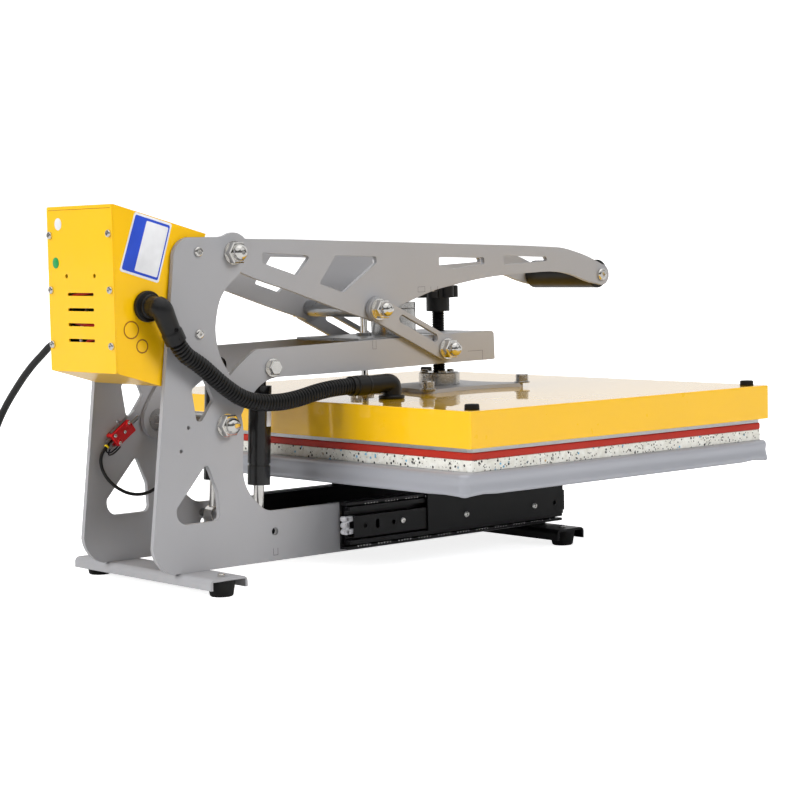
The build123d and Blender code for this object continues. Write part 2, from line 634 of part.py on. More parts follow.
# ---------------------------------------------------------------------------
# Toggle links: outboard of the lever and arm plates
# ---------------------------------------------------------------------------
LINK_IN = SIDE_X - FRAME_T
link_mid = ((PIVOT_C[0] + PIVOT_D[0]) / 2, (PIVOT_C[1] + PIVOT_D[1]) / 2)
link_len = hypot(PIVOT_C[0] - PIVOT_D[0], PIVOT_C[1] - PIVOT_D[1])
link_angle = degrees(atan2(PIVOT_C[1] - PIVOT_D[1], PIVOT_C[0] - PIVOT_D[0]))
SLOT_MID, SLOT_LEN, SLOT_W = (-232.75, 226.6), 54.6, 8.0
with BuildPart() as link_pair:
    for x0 in (-SIDE_X, LINK_IN):
        with BuildSketch(side(x0)):
            with Locations(Location((link_mid[0] + Y0, link_mid[1]), link_angle)):
                SlotCenterToCenter(link_len, 24.0)
            with Locations(Location((SLOT_MID[0] + Y0, SLOT_MID[1]), link_angle)):
                SlotOverall(SLOT_LEN, SLOT_W, mode=Mode.SUBTRACT)
            with Locations(at(*PIVOT_C)):
                Circle(LINK_PIN_D / 2, mode=Mode.SUBTRACT)
            with Locations(at(*PIVOT_D)):
                Circle(LINK_PIN_D / 2 + RUN, mode=Mode.SUBTRACT)
        extrude(amount=FRAME_T)

with BuildPart() as link_upper_nuts:
    for x0, step in ((-SIDE_X, 1), (SIDE_X, -1)):
        with BuildSketch(side(x0 + 0.02 * step)):
            with Locations(at(*PIVOT_C)):
                Circle(LINK_PIN_D / 2)
        extrude(amount=step * (FRAME_T - 0.02))
    with Locations(*[outward(sx, *PIVOT_C) for sx in (-SIDE_X, SIDE_X)]):
        add(dome_nut_m10.part)

# ---------------------------------------------------------------------------
# Arm: two plates, pivot tube, cross plate, front box with the screw nut
# ---------------------------------------------------------------------------
with BuildPart() as arm_plate_left:
    with BuildSketch(side(-LEVER_X)):
        with BuildLine():
            Line(*yz((-42.8, 214.8), (-76.5, 215.3)))
            Spline(*yz((-76.5, 215.3), (-166.4, 217.2), (-217.4, 218.1), (-274.2, 219.4),
                       (-335.0, 220.2)), tangents=[(-1, 0.02), (-1, 0.01)])
            Polyline(*yz((-335.0, 220.2), (-337.8, 219.9), (-340.0, 217.4), (-340.7, 191.4), (-337.0, 191.0)))
            Spline(*yz((-337.0, 191.0), (-273.5, 190.4), (-165.6, 188.4), (-66.0, 187.9)),
                   tangents=[(1, 0), (1, 0)])
            Spline(*yz((-66.0, 187.9), (-54.0, 186.8), (-44.0, 183.2), (-34.0, 175.9),
                       (-20.0, 161.4), (-12.6, 152.8)), tangents=[(1, 0), (0.55, -1)])
            ThreePointArc(*yz((-12.6, 152.8), (4.0, 130.1), (20.6, 152.8)))
            Spline(*yz((20.6, 152.8), (12.6, 168.6), (-0.6, 186.4), (-22.2, 205.2),
                       (-31.8, 211.8), (-42.8, 214.8)), tangents=[(-0.35, 1), (-1, 0)])
        make_face()
    extrude(amount=FRAME_T)
    with BuildSketch(side(-LEVER_X)):
        with Locations(at(*PIVOT_B)):
            Circle(SHAFT_D / 2 + RUN)
        with Locations(at(*PIVOT_D)):
            Circle(LINK_PIN_D / 2)
        with Locations(at(*PIVOT_E)):
            Circle(4.0)
    extrude(amount=FRAME_T, mode=Mode.SUBTRACT)

with BuildPart() as arm_plate_right:
    mirror(arm_plate_left.part, about=Plane.YZ)

with BuildPart() as arm_cross_tube:
    with BuildSketch(side(-INNER_X)):
        with Locations(at(*PIVOT_B)):
            Circle(11.0)
            Circle(SHAFT_D / 2 + RUN, mode=Mode.SUBTRACT)
    extrude(amount=2 * INNER_X)

CROSS_Z = 216.2
GUIDE_D = 7.0
with BuildPart() as arm_cross_plate:
    with BuildSketch(Plane(origin=(0, -219.0 + Y0, CROSS_Z))):
        RectangleRounded(2 * INNER_X, 109.0, 0.5)
    extrude(amount=3.0)
    with BuildSketch(Plane(origin=(0, GUIDE_Y + Y0, CROSS_Z - 7.0))):
        Circle(7.5)
    extrude(amount=13.0)
    with BuildSketch(Plane(origin=(0, GUIDE_Y + Y0, CROSS_Z - 7.5))):
        Circle(GUIDE_D / 2 + RUN)
    extrude(amount=15.0, mode=Mode.SUBTRACT)

BOX_Y0, BOX_Y1 = -339.0, -274.0
with BuildPart() as arm_front_box:
    with BuildSketch(side(-INNER_X)):
        with BuildLine():
            Polyline(*yz((BOX_Y1, 216.2), (BOX_Y1, 219.8), (BOX_Y0 + 3, 219.8), (BOX_Y0, 216.8),
                         (BOX_Y0, 194.4), (BOX_Y0 + 3, 191.4), (BOX_Y1, 191.4), (BOX_Y1, 195.0),
                         (BOX_Y0 + 4, 195.0), (BOX_Y0 + 4, 216.2)), close=True)
        make_face()
    extrude(amount=2 * INNER_X)
    with BuildSketch(Plane(origin=(0, SCREW_Y + Y0, 195.0))):
        Circle(15.0)
    extrude(amount=21.2)
    with BuildSketch(Plane(origin=(0, SCREW_Y + Y0, 190.0))):
        Circle(SCREW_D / 2 + RUN)
    extrude(amount=32.0, mode=Mode.SUBTRACT)

MAGNET_TOP = 245.3
with BuildPart() as electromagnet:
    with BuildSketch(Plane(origin=(0, MAGNET_Y + Y0, CROSS_Z + 3.0))):
        Circle(22.5)
    extrude(amount=MAGNET_TOP - CROSS_Z - 3.0)
    chamfer(electromagnet.edges().group_by(Axis.Z)[-1], length=0.6)
    with BuildSketch(Plane(origin=(0, MAGNET_Y + Y0, MAGNET_TOP))):
        Circle(17.5)
        Circle(9.5, mode=Mode.SUBTRACT)
    extrude(amount=-1.0, mode=Mode.SUBTRACT)

with BuildPart() as arm_pins:
    # link pin with its washers and nuts
    with BuildSketch(side(-SIDE_X - 0.28)):
        with Locations(at(*PIVOT_D)):
            Circle(LINK_PIN_D / 2)
    extrude(amount=2 * (SIDE_X + 0.28))
    with Locations(*[outward(sx, *PIVOT_D) for sx in (-SIDE_X - 0.3, SIDE_X + 0.3)]):
        add(dome_nut_m10.part)
    # hexagon bolts that carry the gas springs
    with BuildSketch(side(-LEVER_X + 0.02)):
        with Locations(at(*PIVOT_E)):
            Circle(4.0)
    extrude(amount=FRAME_T - 0.02)
    with BuildSketch(side(LEVER_X - 0.02)):
        with Locations(at(*PIVOT_E)):
            Circle(4.0)
    extrude(amount=-FRAME_T + 0.02)
    with Locations(*[outward(sx, *PIVOT_E) for sx in (-LEVER_X, LEVER_X)]):
        add(hex_head_m8.part)

# ---------------------------------------------------------------------------
# Gas springs: rods below, cylinders above, in line between E and F
# ---------------------------------------------------------------------------
SPRING_X = 35.0
ROD_D, CYL_D = 10.0, 21.4
spring_vec = (PIVOT_E[0] - PIVOT_F[0], PIVOT_E[1] - PIVOT_F[1])
spring_len = hypot(*spring_vec)
SPRING_DIR = (0.0, spring_vec[0] / spring_len, spring_vec[1] / spring_len)


def on_spring(x, s):
    """Plane square to the spring's axis, s up from the lower pivot."""
    return Plane(origin=(x, PIVOT_F[0] + s * SPRING_DIR[1] + Y0, PIVOT_F[1] + s * SPRING_DIR[2]),
                 x_dir=(1, 0, 0), z_dir=SPRING_DIR)


CYL_S0, CYL_S1 = 33.0, 126.0
with BuildPart() as gas_spring_rods:
    for x in (-SPRING_X, SPRING_X):
        with BuildSketch(on_spring(x, 6.5)):
            Circle(ROD_D / 2)
        extrude(amount=CYL_S1 - 18.0)
        with BuildSketch(side(x - 6.0)):
            with Locations(at(*PIVOT_F)):
                Circle(8.2)
        extrude(amount=12.0)
        with BuildSketch(side(x - 7.0)):
            with Locations(at(*PIVOT_F)):
                Circle(ANCHOR_D / 2 + RUN)
        extrude(amount=14.0, mode=Mode.SUBTRACT)

with BuildPart() as gas_spring_cylinders:
    for x in (-SPRING_X, SPRING_X):
        out = 1 if x > 0 else -1
        with BuildSketch(on_spring(x, CYL_S0)):
            Circle(CYL_D / 2)
        extrude(amount=CYL_S1 - CYL_S0)
        with BuildSketch(on_spring(x, CYL_S1)):
            Circle(5.5)
        extrude(amount=spring_len - CYL_S1 - 4.0)
        with BuildSketch(side(x - 6.0 * out)):
            with Locations(at(*PIVOT_E)):
                Circle(8.0)
        extrude(amount=12.0 * out)
        with BuildSketch(side(x + 6.0 * out)):
            with Locations(at(*PIVOT_E)):
                Circle(4.0)
        extrude(amount=6.5 * out)
        with BuildSketch(on_spring(x, CYL_S0 - 1.0)):
            Circle(ROD_D / 2 + RUN)
        extrude(amount=86.0, mode=Mode.SUBTRACT)
        with BuildSketch(on_spring(x, CYL_S0 + 18.0)):
            Circle(CYL_D / 2)
            Circle(CYL_D / 2 - 0.9, mode=Mode.SUBTRACT)
        extrude(amount=2.4, mode=Mode.SUBTRACT)

# ---------------------------------------------------------------------------
# Heated platen with its mount, collar, guide rod
# ---------------------------------------------------------------------------
BOLT_X, BOLT_Y = 55.0, 65.0
MOUNT_BOLTS = [(sx * BOLT_X, SCREW_Y + sy * BOLT_Y) for sx in (-1, 1) for sy in (-1, 1)]
with BuildPart() as platen_cover:
    with BuildSketch(Plane(origin=(0, PLATEN_Y + Y0, COVER_Z0))):
        RectangleRounded(COVER_W, COVER_D, 1.8)
    extrude(amount=COVER_Z1 - COVER_Z0)
    fillet(platen_cover.edges().group_by(Axis.Z)[-1], radius=1.2)
    with BuildSketch(Plane(origin=(0, PLATEN_Y + Y0, COVER_Z0))):
        RectangleRounded(COVER_W - 2 * SHEET_T, COVER_D - 2 * SHEET_T, 0.4)
    extrude(amount=COVER_Z1 - COVER_Z0 - SHEET_T, mode=Mode.SUBTRACT)

with BuildPart() as heating_plate:
    with BuildSketch(Plane(origin=(0, PLATEN_Y + Y0, PLATE_Z0))):
        RectangleRounded(PLATE_W, PLATE_D, 6.0)
    extrude(amount=PLATE_Z1 - PLATE_Z0)
    with BuildSketch(Plane(origin=(0, Y0, PLATE_Z1))):
        with Locations(*MOUNT_BOLTS):
            Circle(11.0)
    extrude(amount=COVER_Z1 - SHEET_T - PLATE_Z1)

with BuildPart() as mounting_plate:
    with BuildSketch(Plane(origin=(0, SCREW_Y + Y0, COVER_Z1))) as mount_outline:
        with BuildLine():
            ThreePointArc((-72, 83), (0, 57), (72, 83))
            ThreePointArc((72, 83), (48, 0), (72, -83))
            ThreePointArc((72, -83), (0, -57), (-72, -83))
            ThreePointArc((-72, -83), (-48, 0), (-72, 83))
        make_face()
        fillet(mount_outline.vertices(), radius=9)
    extrude(amount=4.0)

with BuildPart() as platen_bolts:
    with Locations(*[floor_plane(bx, by, COVER_Z1 + 4.0) for bx, by in MOUNT_BOLTS]):
        add(socket_head_m8.part)
    with Locations(*[floor_plane(15.6 * cos(radians(a)), SCREW_Y + 15.6 * sin(radians(a)), 178.0)
                     for a in (30, 150, 270)]):
        add(button_head_m5.part.scale(0.85))

with BuildPart() as screw_collar:
    with BuildSketch(Plane(origin=(0, SCREW_Y + Y0, COVER_Z1 + 4.0))):
        Circle(21.0)
    extrude(amount=13.0)
    chamfer(screw_collar.edges().group_by(Axis.Z)[-1], length=1.0)
    with BuildSketch(Plane(origin=(0, SCREW_Y + Y0, COVER_Z1 + 4.0))):
        Circle(SCREW_D / 2 + RUN)
    extrude(amount=14.0, mode=Mode.SUBTRACT)

with BuildPart() as guide_rod:
    with BuildSketch(Plane(origin=(0, GUIDE_Y + Y0, COVER_Z1))):
        Circle(9.0)
    extrude(amount=4.0)
    with BuildSketch(Plane(origin=(0, GUIDE_Y + Y0, COVER_Z1 + 4.0))):
        Circle(GUIDE_D / 2)
    extrude(amount=238.0 - COVER_Z1 - 4.0)
    chamfer(guide_rod.edges().group_by(Axis.Z)[-1], length=0.8)

# Adjusting screw and its star knob
KNOB_Z0, KNOB_Z1, KNOB_Z2 = 240.4, 255.3, 266.5
with BuildPart() as threaded_spindle:
    with BuildSketch(Plane(origin=(0, SCREW_Y + Y0, COVER_Z1 + 4.2))):
        Circle(SCREW_D / 2)
    extrude(amount=257.0 - COVER_Z1 - 4.2)
    chamfer(threaded_spindle.edges().group_by(Axis.Z)[-1], length=1.0)

with BuildPart() as star_knob:
    with BuildSketch(Plane(origin=(0, SCREW_Y + Y0, KNOB_Z0))):
        Circle(12.0)
    extrude(amount=KNOB_Z1 - KNOB_Z0)
    with BuildSketch(Plane(origin=(0, SCREW_Y + Y0, KNOB_Z1 - 1.0))) as star:
        Circle(15.5)
        with PolarLocations(15.0, 6):
            Circle(6.2)
    extrude(amount=KNOB_Z2 - KNOB_Z1 + 1.0)
    with BuildSketch(Plane(origin=(0, SCREW_Y + Y0, KNOB_Z0))):
        Circle(SCREW_D / 2)
    extrude(amount=257.0 - KNOB_Z0, mode=Mode.SUBTRACT)
    fillet(star_knob.edges().group_by(Axis.Z)[-1], radius=1.6)

# ---------------------------------------------------------------------------
# Drawer table: tray, foam, silicone sheet, brackets
# ---------------------------------------------------------------------------
with BuildPart() as table_tray:
    with BuildSketch(Plane(origin=(0, TRAY_Y + Y0, TRAY_Z0))):
        RectangleRounded(TRAY_W, TRAY_D, 9.0)
    extrude(amount=TRAY_Z1 - TRAY_Z0)
    fillet(table_tray.edges().group_by(Axis.Z)[-1], radius=2.5)
    with BuildSketch(Plane(origin=(0, TRAY_Y + Y0, TRAY_Z0))):
        RectangleRounded(TRAY_W - 2 * SHEET_T, TRAY_D - 2 * SHEET_T, 7.5)
    extrude(amount=TRAY_Z1 - TRAY_Z0 - SHEET_T, mode=Mode.SUBTRACT)

with BuildPart() as foam_pad:
    with BuildSketch(Plane(origin=(0, PLATEN_Y + Y0, TRAY_Z1))):
        RectangleRounded(PLATE_W, PLATE_D, 3.0)
    extrude(amount=FOAM_Z1 - TRAY_Z1)

with BuildPart() as silicone_sheet:
    with BuildSketch(Plane(origin=(0, PLATEN_Y + Y0, FOAM_Z1))):
        RectangleRounded(PLATE_W, PLATE_D, 3.0)
    extrude(amount=SILICONE_Z1 - FOAM_Z1)

TRAY_UNDER = TRAY_Z1 - SHEET_T
with BuildPart() as drawer_brackets:
    for s in (-1, 1):
        with BuildSketch(Plane.XZ.offset(-(-227.0 + Y0))):
            with BuildLine():
                Polyline((s * 72.0, 28.0), (s * 74.0, 28.0), (s * 74.0, TRAY_UNDER - 2),
                         (s * 96.0, TRAY_UNDER - 2), (s * 96.0, TRAY_UNDER), (s * 72.0, TRAY_UNDER),
                         close=True)
            make_face()
        extrude(amount=188.0)
    with BuildSketch(Plane.YZ.offset(-80)):
        with Locations(at(-402.0, 40.0)):
            Circle(2.4)
    extrude(amount=160, mode=Mode.SUBTRACT)

# ---------------------------------------------------------------------------
# Hose elbows and the corrugated hose between them
# ---------------------------------------------------------------------------
HOSE_START = (69.0, 231.0)
HOSE_SEAT = (68.91, 230.83)      # the hose's end stands 0.2 mm clear of the elbow's mouth
HOSE_END = (-136.0, 176.0)
with BuildPart() as hose_elbow_box:
    with BuildLine() as elbow_line:
        FilletPolyline((-BOX_HALF - 2.0, ELBOW_AT[0] + Y0, ELBOW_AT[1]),
                       (HOSE_X, ELBOW_AT[0] + Y0, ELBOW_AT[1]),
                       (HOSE_X, HOSE_START[0] + Y0, HOSE_START[1]), radius=9.6)
    with BuildSketch(Plane(origin=elbow_line.line @ 0, z_dir=elbow_line.line % 0)):
        Circle(8.4)
    sweep()
    with BuildSketch(Plane.YZ.offset(-BOX_HALF)):
        with Locations(at(*ELBOW_AT)):
            Circle(14.0)
    extrude(amount=-5.0)
    with BuildSketch(Plane.YZ.offset(-BOX_HALF - 5.0)):
        with Locations(at(*ELBOW_AT)):
            RegularPolygon(radius=11.5, side_count=6, major_radius=False)
    extrude(amount=-4.0)
    with BuildSketch(Plane.YZ.offset(-BOX_HALF)):
        with Locations(at(*ELBOW_AT)):
            Circle(7.8)
    extrude(amount=6.0)

with BuildPart() as hose_elbow_platen:
    with BuildLine() as down_line:
        FilletPolyline((HOSE_X, HOSE_END[0] + Y0, HOSE_END[1]),
                       (HOSE_X, -183.5 + Y0, HOSE_END[1]),
                       (HOSE_X, -183.5 + Y0, COVER_Z1), radius=10.5)
    with BuildSketch(Plane(origin=down_line.line @ 0, z_dir=down_line.line % 0)):
        Circle(8.5)
    sweep()
    with BuildSketch(Plane(origin=(HOSE_X, -183.5 + Y0, COVER_Z1))):
        Circle(12.6)
    extrude(amount=3.4)

HOSE_ROUTE = [HOSE_SEAT, (61.0, 216.0), (41.6, 205.4), (19.0, 186.6), (-4.6, 171.2), (-31.0, 165.8),
              (-63.0, 166.6), (-106.0, 176.0), HOSE_END]
HOSE_ROUTE = [(HOSE_X, y + Y0, z) for y, z in HOSE_ROUTE]
hose_radii = route_radii(HOSE_ROUTE)
print("hose radii", [round(r, 1) for r in hose_radii])
with BuildPart() as heater_hose:
    with BuildLine() as hose_line:
        FilletPolyline(*HOSE_ROUTE, radius=hose_radii)
    with BuildSketch(Plane(origin=hose_line.line @ 0, z_dir=hose_line.line % 0)):
        Circle(HOSE_D / 2)
    sweep()
print("hose volume / (section x length)",
      round(heater_hose.part.volume / (pi * HOSE_D ** 2 / 4 * hose_line.wire().length), 4),
      "length", round(hose_line.wire().length, 1))
print("lead volume / (section x length)",
      round(switch_lead.part.volume / (pi * LEAD_D ** 2 / 4 * lead_line.wire().length), 4),
      "length", round(lead_line.wire().length, 1))

# ---------------------------------------------------------------------------
# Mains cord: out of the far side, down to the floor, coil with the plug on it
# ---------------------------------------------------------------------------
COIL_AT = (328.0, 140.0)
COIL_R_OUT, COIL_R_IN, COIL_H = 46.5, 32.0, 21.4
CORD_ROUTE = [(RELIEF_END, 95.0, 223.5), (86.5, 95.0, 223.5), (103.0, 94.6, 213.6),
              (121.0, 94.2, 203.7), (140.0, 93.4, 191.6), (160.0, 92.0, 177.2), (178.0, 90.8, 163.4),
              (195.5, 90.0, 146.6), (210.0, 90.2, 125.0), (221.5, 90.8, 101.0), (231.5, 91.6, 76.0),
              (242.5, 92.8, 50.5), (257.0, 94.0, 29.0), (275.0, 95.2, 13.6), (295.0, 96.6, 4.8), (311.6, 97.2, 3.9)]
CORD_ROUTE = [(x, y + Y0, z) for x, y, z in CORD_ROUTE]
cord_radii = route_radii(CORD_ROUTE)
print("mains cord radii", [round(r, 1) for r in cord_radii])
with BuildPart() as mains_cord:
    with BuildLine() as cord_line:
        FilletPolyline(*CORD_ROUTE, radius=cord_radii)
    with BuildSketch(Plane(origin=cord_line.line @ 0, z_dir=cord_line.line % 0)):
        Circle(CORD_D / 2)
    sweep()
print("mains cord volume / (section x length)",
      round(mains_cord.part.volume / (pi * CORD_D ** 2 / 4 * cord_line.wire().length), 4),
      "length", round(cord_line.wire().length, 1))

with BuildPart() as cord_coil:
    with BuildSketch(Plane(origin=(COIL_AT[0], COIL_AT[1] + Y0, 0.2))):
        Circle(COIL_R_OUT)
        Circle(COIL_R_IN, mode=Mode.SUBTRACT)
    extrude(amount=COIL_H)
    fillet(cord_coil.edges().group_by(Axis.Z)[0] + cord_coil.edges().group_by(Axis.Z)[-1], radius=3.0)

PLUG_Z = 0.2 + COIL_H + 0.2
with BuildPart() as mains_plug:
    with BuildSketch(Plane(origin=(COIL_AT[0], COIL_AT[1] + Y0, PLUG_Z))):
        RectangleRounded(36.0, 44.0, 9.0)
    extrude(amount=17.0)
    fillet(mains_plug.edges().group_by(Axis.Z)[-1], radius=3.0)
    with BuildSketch(Plane.XZ.offset(-(COIL_AT[1] + 22.0 + Y0))):
        with Locations((COIL_AT[0] - 9.5, PLUG_Z + 8.5), (COIL_AT[0] + 9.5, PLUG_Z + 8.5)):
            Circle(2.4)
    extrude(amount=-19.0)

# ---------------------------------------------------------------------------
# Labels and files
# ---------------------------------------------------------------------------
PIECES = {
    "side_plate_left": side_plate_left, "side_plate_right": side_plate_right,
    "rear_foot_channel": rear_foot_channel, "front_foot_channel": front_foot_channel,
    "rubber_feet": rubber_feet, "frame_screws": frame_screws, "rail_pan": rail_pan,
    "slide_outer_members": slide_outer_members, "slide_middle_members": slide_middle_members,
    "slide_inner_members": slide_inner_members, "control_box_shell": control_box_shell,
    "box_back_panel": box_back_panel, "control_panel": control_panel,
    "button_mode": buttons["button_mode"], "button_down": buttons["button_down"],
    "button_up": buttons["button_up"], "power_rocker": power_rocker,
    "circuit_board": circuit_board, "strain_relief": strain_relief,
    "pivot_bolts": pivot_bolts, "spring_anchor_rod": spring_anchor_rod,
    "micro_switch": micro_switch, "micro_switch_plunger": micro_switch_plunger,
    "switch_lead": switch_lead, "lever_plate_left": lever_plate_left,
    "lever_plate_right": lever_plate_right, "lever_cross_tubes": lever_cross_tubes,
    "lever_bridge": lever_bridge, "armature_disc": armature_disc, "handle_grip": handle_grip,
    "grip_bolts": grip_bolts, "link_pair": link_pair, "link_upper_nuts": link_upper_nuts,
    "arm_plate_left": arm_plate_left, "arm_plate_right": arm_plate_right,
    "arm_cross_tube": arm_cross_tube, "arm_cross_plate": arm_cross_plate,
    "arm_front_box": arm_front_box, "electromagnet": electromagnet, "arm_pins": arm_pins,
    "gas_spring_rods": gas_spring_rods, "gas_spring_cylinders": gas_spring_cylinders,
    "platen_cover": platen_cover, "heating_plate": heating_plate,
    "mounting_plate": mounting_plate, "platen_bolts": platen_bolts,
    "screw_collar": screw_collar, "guide_rod": guide_rod,
    "threaded_spindle": threaded_spindle, "star_knob": star_knob, "table_tray": table_tray,
    "foam_pad": foam_pad, "silicone_sheet": silicone_sheet, "drawer_brackets": drawer_brackets,
    "hose_elbow_box": hose_elbow_box, "hose_elbow_platen": hose_elbow_platen,
    "heater_hose": heater_hose, "mains_cord": mains_cord, "cord_coil": cord_coil,
    "mains_plug": mains_plug,
}
low, high = [1e9] * 3, [-1e9] * 3
for label, piece in PIECES.items():
    piece.part.label = label
    export_step(piece.part, f"parts/{label}.step")
    if label not in ("mains_cord", "cord_coil", "mains_plug"):
        box = piece.part.bounding_box()
        low = [min(a, b) for a, b in zip(low, (box.min.X, box.min.Y, box.min.Z))]
        high = [max(a, b) for a, b in zip(high, (box.max.X, box.max.Y, box.max.Z))]
print(len(PIECES), "pieces; box", [round(v, 2) for v in low], [round(v, 2) for v in high])
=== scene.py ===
import math
import random

import bmesh
import bpy
from mathutils import Matrix, Vector

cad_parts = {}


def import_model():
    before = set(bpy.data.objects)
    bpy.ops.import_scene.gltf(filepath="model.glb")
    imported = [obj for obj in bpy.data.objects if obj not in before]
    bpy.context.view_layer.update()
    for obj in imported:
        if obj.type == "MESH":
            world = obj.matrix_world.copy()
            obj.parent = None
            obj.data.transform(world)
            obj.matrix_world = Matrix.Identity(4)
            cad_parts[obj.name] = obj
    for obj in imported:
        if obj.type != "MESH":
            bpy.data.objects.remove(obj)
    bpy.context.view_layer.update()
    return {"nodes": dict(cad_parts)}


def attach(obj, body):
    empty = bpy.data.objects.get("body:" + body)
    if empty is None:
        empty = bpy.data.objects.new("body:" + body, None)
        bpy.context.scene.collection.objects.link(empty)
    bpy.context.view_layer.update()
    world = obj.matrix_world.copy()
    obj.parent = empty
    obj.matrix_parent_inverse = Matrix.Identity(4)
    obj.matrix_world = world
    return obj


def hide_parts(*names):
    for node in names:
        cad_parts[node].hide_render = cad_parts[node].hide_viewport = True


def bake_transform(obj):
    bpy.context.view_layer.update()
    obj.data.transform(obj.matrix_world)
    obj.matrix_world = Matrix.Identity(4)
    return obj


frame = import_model()
NODES = frame["nodes"]
Y0 = 204.0          # carries the side-profile datum to the middle of the footprint, mm


def P(x, y, z):
    """Side-profile datum, mm, to the shared frame, metres."""
    return Vector((x / 1000.0, (y + Y0) / 1000.0, z / 1000.0))


# ---------------------------------------------------------------------------
# Camera: the photograph's view
# ---------------------------------------------------------------------------
def make_camera():
    a, e, r = math.radians(228.89), math.radians(4.05), math.radians(-1.14)
    back = Vector((math.sin(a) * math.cos(e), -math.cos(a) * math.cos(e), math.sin(e)))
    right = Vector((0, 0, 1)).cross(back).normalized()
    up = back.cross(right)
    c, s = math.cos(r), math.sin(r)
    right, up = c * right + s * up, -s * right + c * up
    data = bpy.data.cameras.new("photo_camera")
    data.sensor_width = 36.0
    data.sensor_fit = "HORIZONTAL"
    data.lens = 2112.5 / 800.0 * 36.0
    data.clip_start, data.clip_end = 0.05, 60.0
    data.dof.use_dof = False
    cam = bpy.data.objects.new("photo_camera", data)
    bpy.context.scene.collection.objects.link(cam)
    cam.matrix_world = Matrix((
        (right.x, up.x, back.x, -1.6071), (right.y, up.y, back.y, 1.1446 + Y0 / 1000.0),
        (right.z, up.z, back.z, 0.3032), (0, 0, 0, 1)))
    bpy.context.scene.camera = cam


make_camera()


# ---------------------------------------------------------------------------
# Materials
# ---------------------------------------------------------------------------
def srgb(r, g, b):
    def lin(v):
        v /= 255.0
        return v / 12.92 if v <= 0.04045 else ((v + 0.055) / 1.055) ** 2.4
    return (lin(r), lin(g), lin(b), 1.0)


class Mat:
    """A node material with small helpers; object coordinates are metres in the shared frame."""

    def __init__(self, name):
        self.m = bpy.data.materials.new(name)
        self.m.use_nodes = True
        self.nt = self.m.node_tree
        self.b = self.nt.nodes["Principled BSDF"]
        self.coord = self.node("ShaderNodeTexCoord").outputs["Object"]

    def node(self, kind, **props):
        n = self.nt.nodes.new(kind)
        for k, v in props.items():
            setattr(n, k, v)
        return n

    def link(self, a, b):
        self.nt.links.new(a, b)

    def set(self, **values):
        for k, v in values.items():
            self.b.inputs[k.replace("_", " ")].default_value = v
        return self

    def noise(self, scale, detail=3.0, rough=0.55, stretch=None):
        n = self.node("ShaderNodeTexNoise")
        n.inputs["Scale"].default_value = scale
        n.inputs["Detail"].default_value = detail
        n.inputs["Roughness"].default_value = rough
        src = self.coord
        if stretch:
            mp = self.node("ShaderNodeMapping")
            mp.inputs["Scale"].default_value = stretch
            self.link(src, mp.inputs["Vector"])
            src = mp.outputs["Vector"]
        self.link(src, n.inputs["Vector"])
        return n.outputs["Fac"]

    def ramp(self, fac, stops):
        r = self.node("ShaderNodeValToRGB")
        el = r.color_ramp.elements
        el[0].position, el[0].color = stops[0]
        el[1].position, el[1].color = stops[-1]
        for p, c in stops[1:-1]:
            e = el.new(p)
            e.color = c
        self.link(fac, r.inputs["Fac"])
        return r.outputs["Color"]

    def remap(self, fac, a, b, lo=0.3, hi=0.7):
        n = self.node("ShaderNodeMapRange")
        n.inputs["From Min"].default_value = lo
        n.inputs["From Max"].default_value = hi
        n.inputs["To Min"].default_value = a
        n.inputs["To Max"].default_value = b
        self.link(fac, n.inputs["Value"])
        return n.outputs["Result"]

    def bump(self, height, distance, strength=1.0, base=None):
        n = self.node("ShaderNodeBump")
        n.inputs["Strength"].default_value = strength
        n.inputs["Distance"].default_value = distance
        self.link(height, n.inputs["Height"])
        if base is not None:
            self.link(base, n.inputs["Normal"])
        return n.outputs["Normal"]

    def bevel(self, radius):
        n = self.node("ShaderNodeBevel", samples=4)
        n.inputs["Radius"].default_value = radius
        return n.outputs["Normal"]

    def normal(self, out):
        self.link(out, self.b.inputs["Normal"])
        return self


def shade(c, k):
    return (min(1, c[0] * k), min(1, c[1] * k), min(1, c[2] * k), 1.0)


def paint(name, color, rough, spread=0.05, peel=0.00003, coat=0.0, bevel=0.0006, metallic=0.0, coat_rough=0.03, spec=0.5):
    m = Mat(name)
    m.b.inputs["Specular IOR Level"].default_value = spec
    big = m.noise(9.0, 2.0)
    m.link(m.ramp(big, [(0.3, shade(color, 1 - spread)), (0.7, shade(color, 1 + spread))]), m.b.inputs["Base Color"])
    m.link(m.remap(m.noise(55.0, 3.0), rough * 0.9, rough * 1.12), m.b.inputs["Roughness"])
    m.set(Metallic=metallic)
    if coat:
        m.b.inputs["Coat Weight"].default_value = coat
        m.b.inputs["Coat Roughness"].default_value = coat_rough
        m.b.inputs["Coat IOR"].default_value = 1.5
    base = m.bevel(bevel) if bevel else None
    m.normal(m.bump(m.noise(900.0, 2.0), peel, 0.6, base))
    return m.m


def metal(name, color, rough, stretch=None, scale=260.0, depth=0.00001, bevel=0.0005):
    m = Mat(name)
    m.set(Metallic=1.0)
    n = m.noise(scale, 3.0, 0.6, stretch)
    m.link(m.ramp(n, [(0.25, shade(color, 0.9)), (0.75, shade(color, 1.06))]), m.b.inputs["Base Color"])
    m.link(m.remap(n, rough * 0.8, rough * 1.25), m.b.inputs["Roughness"])
    m.normal(m.bump(n, depth, 0.5, m.bevel(bevel)))
    return m.m


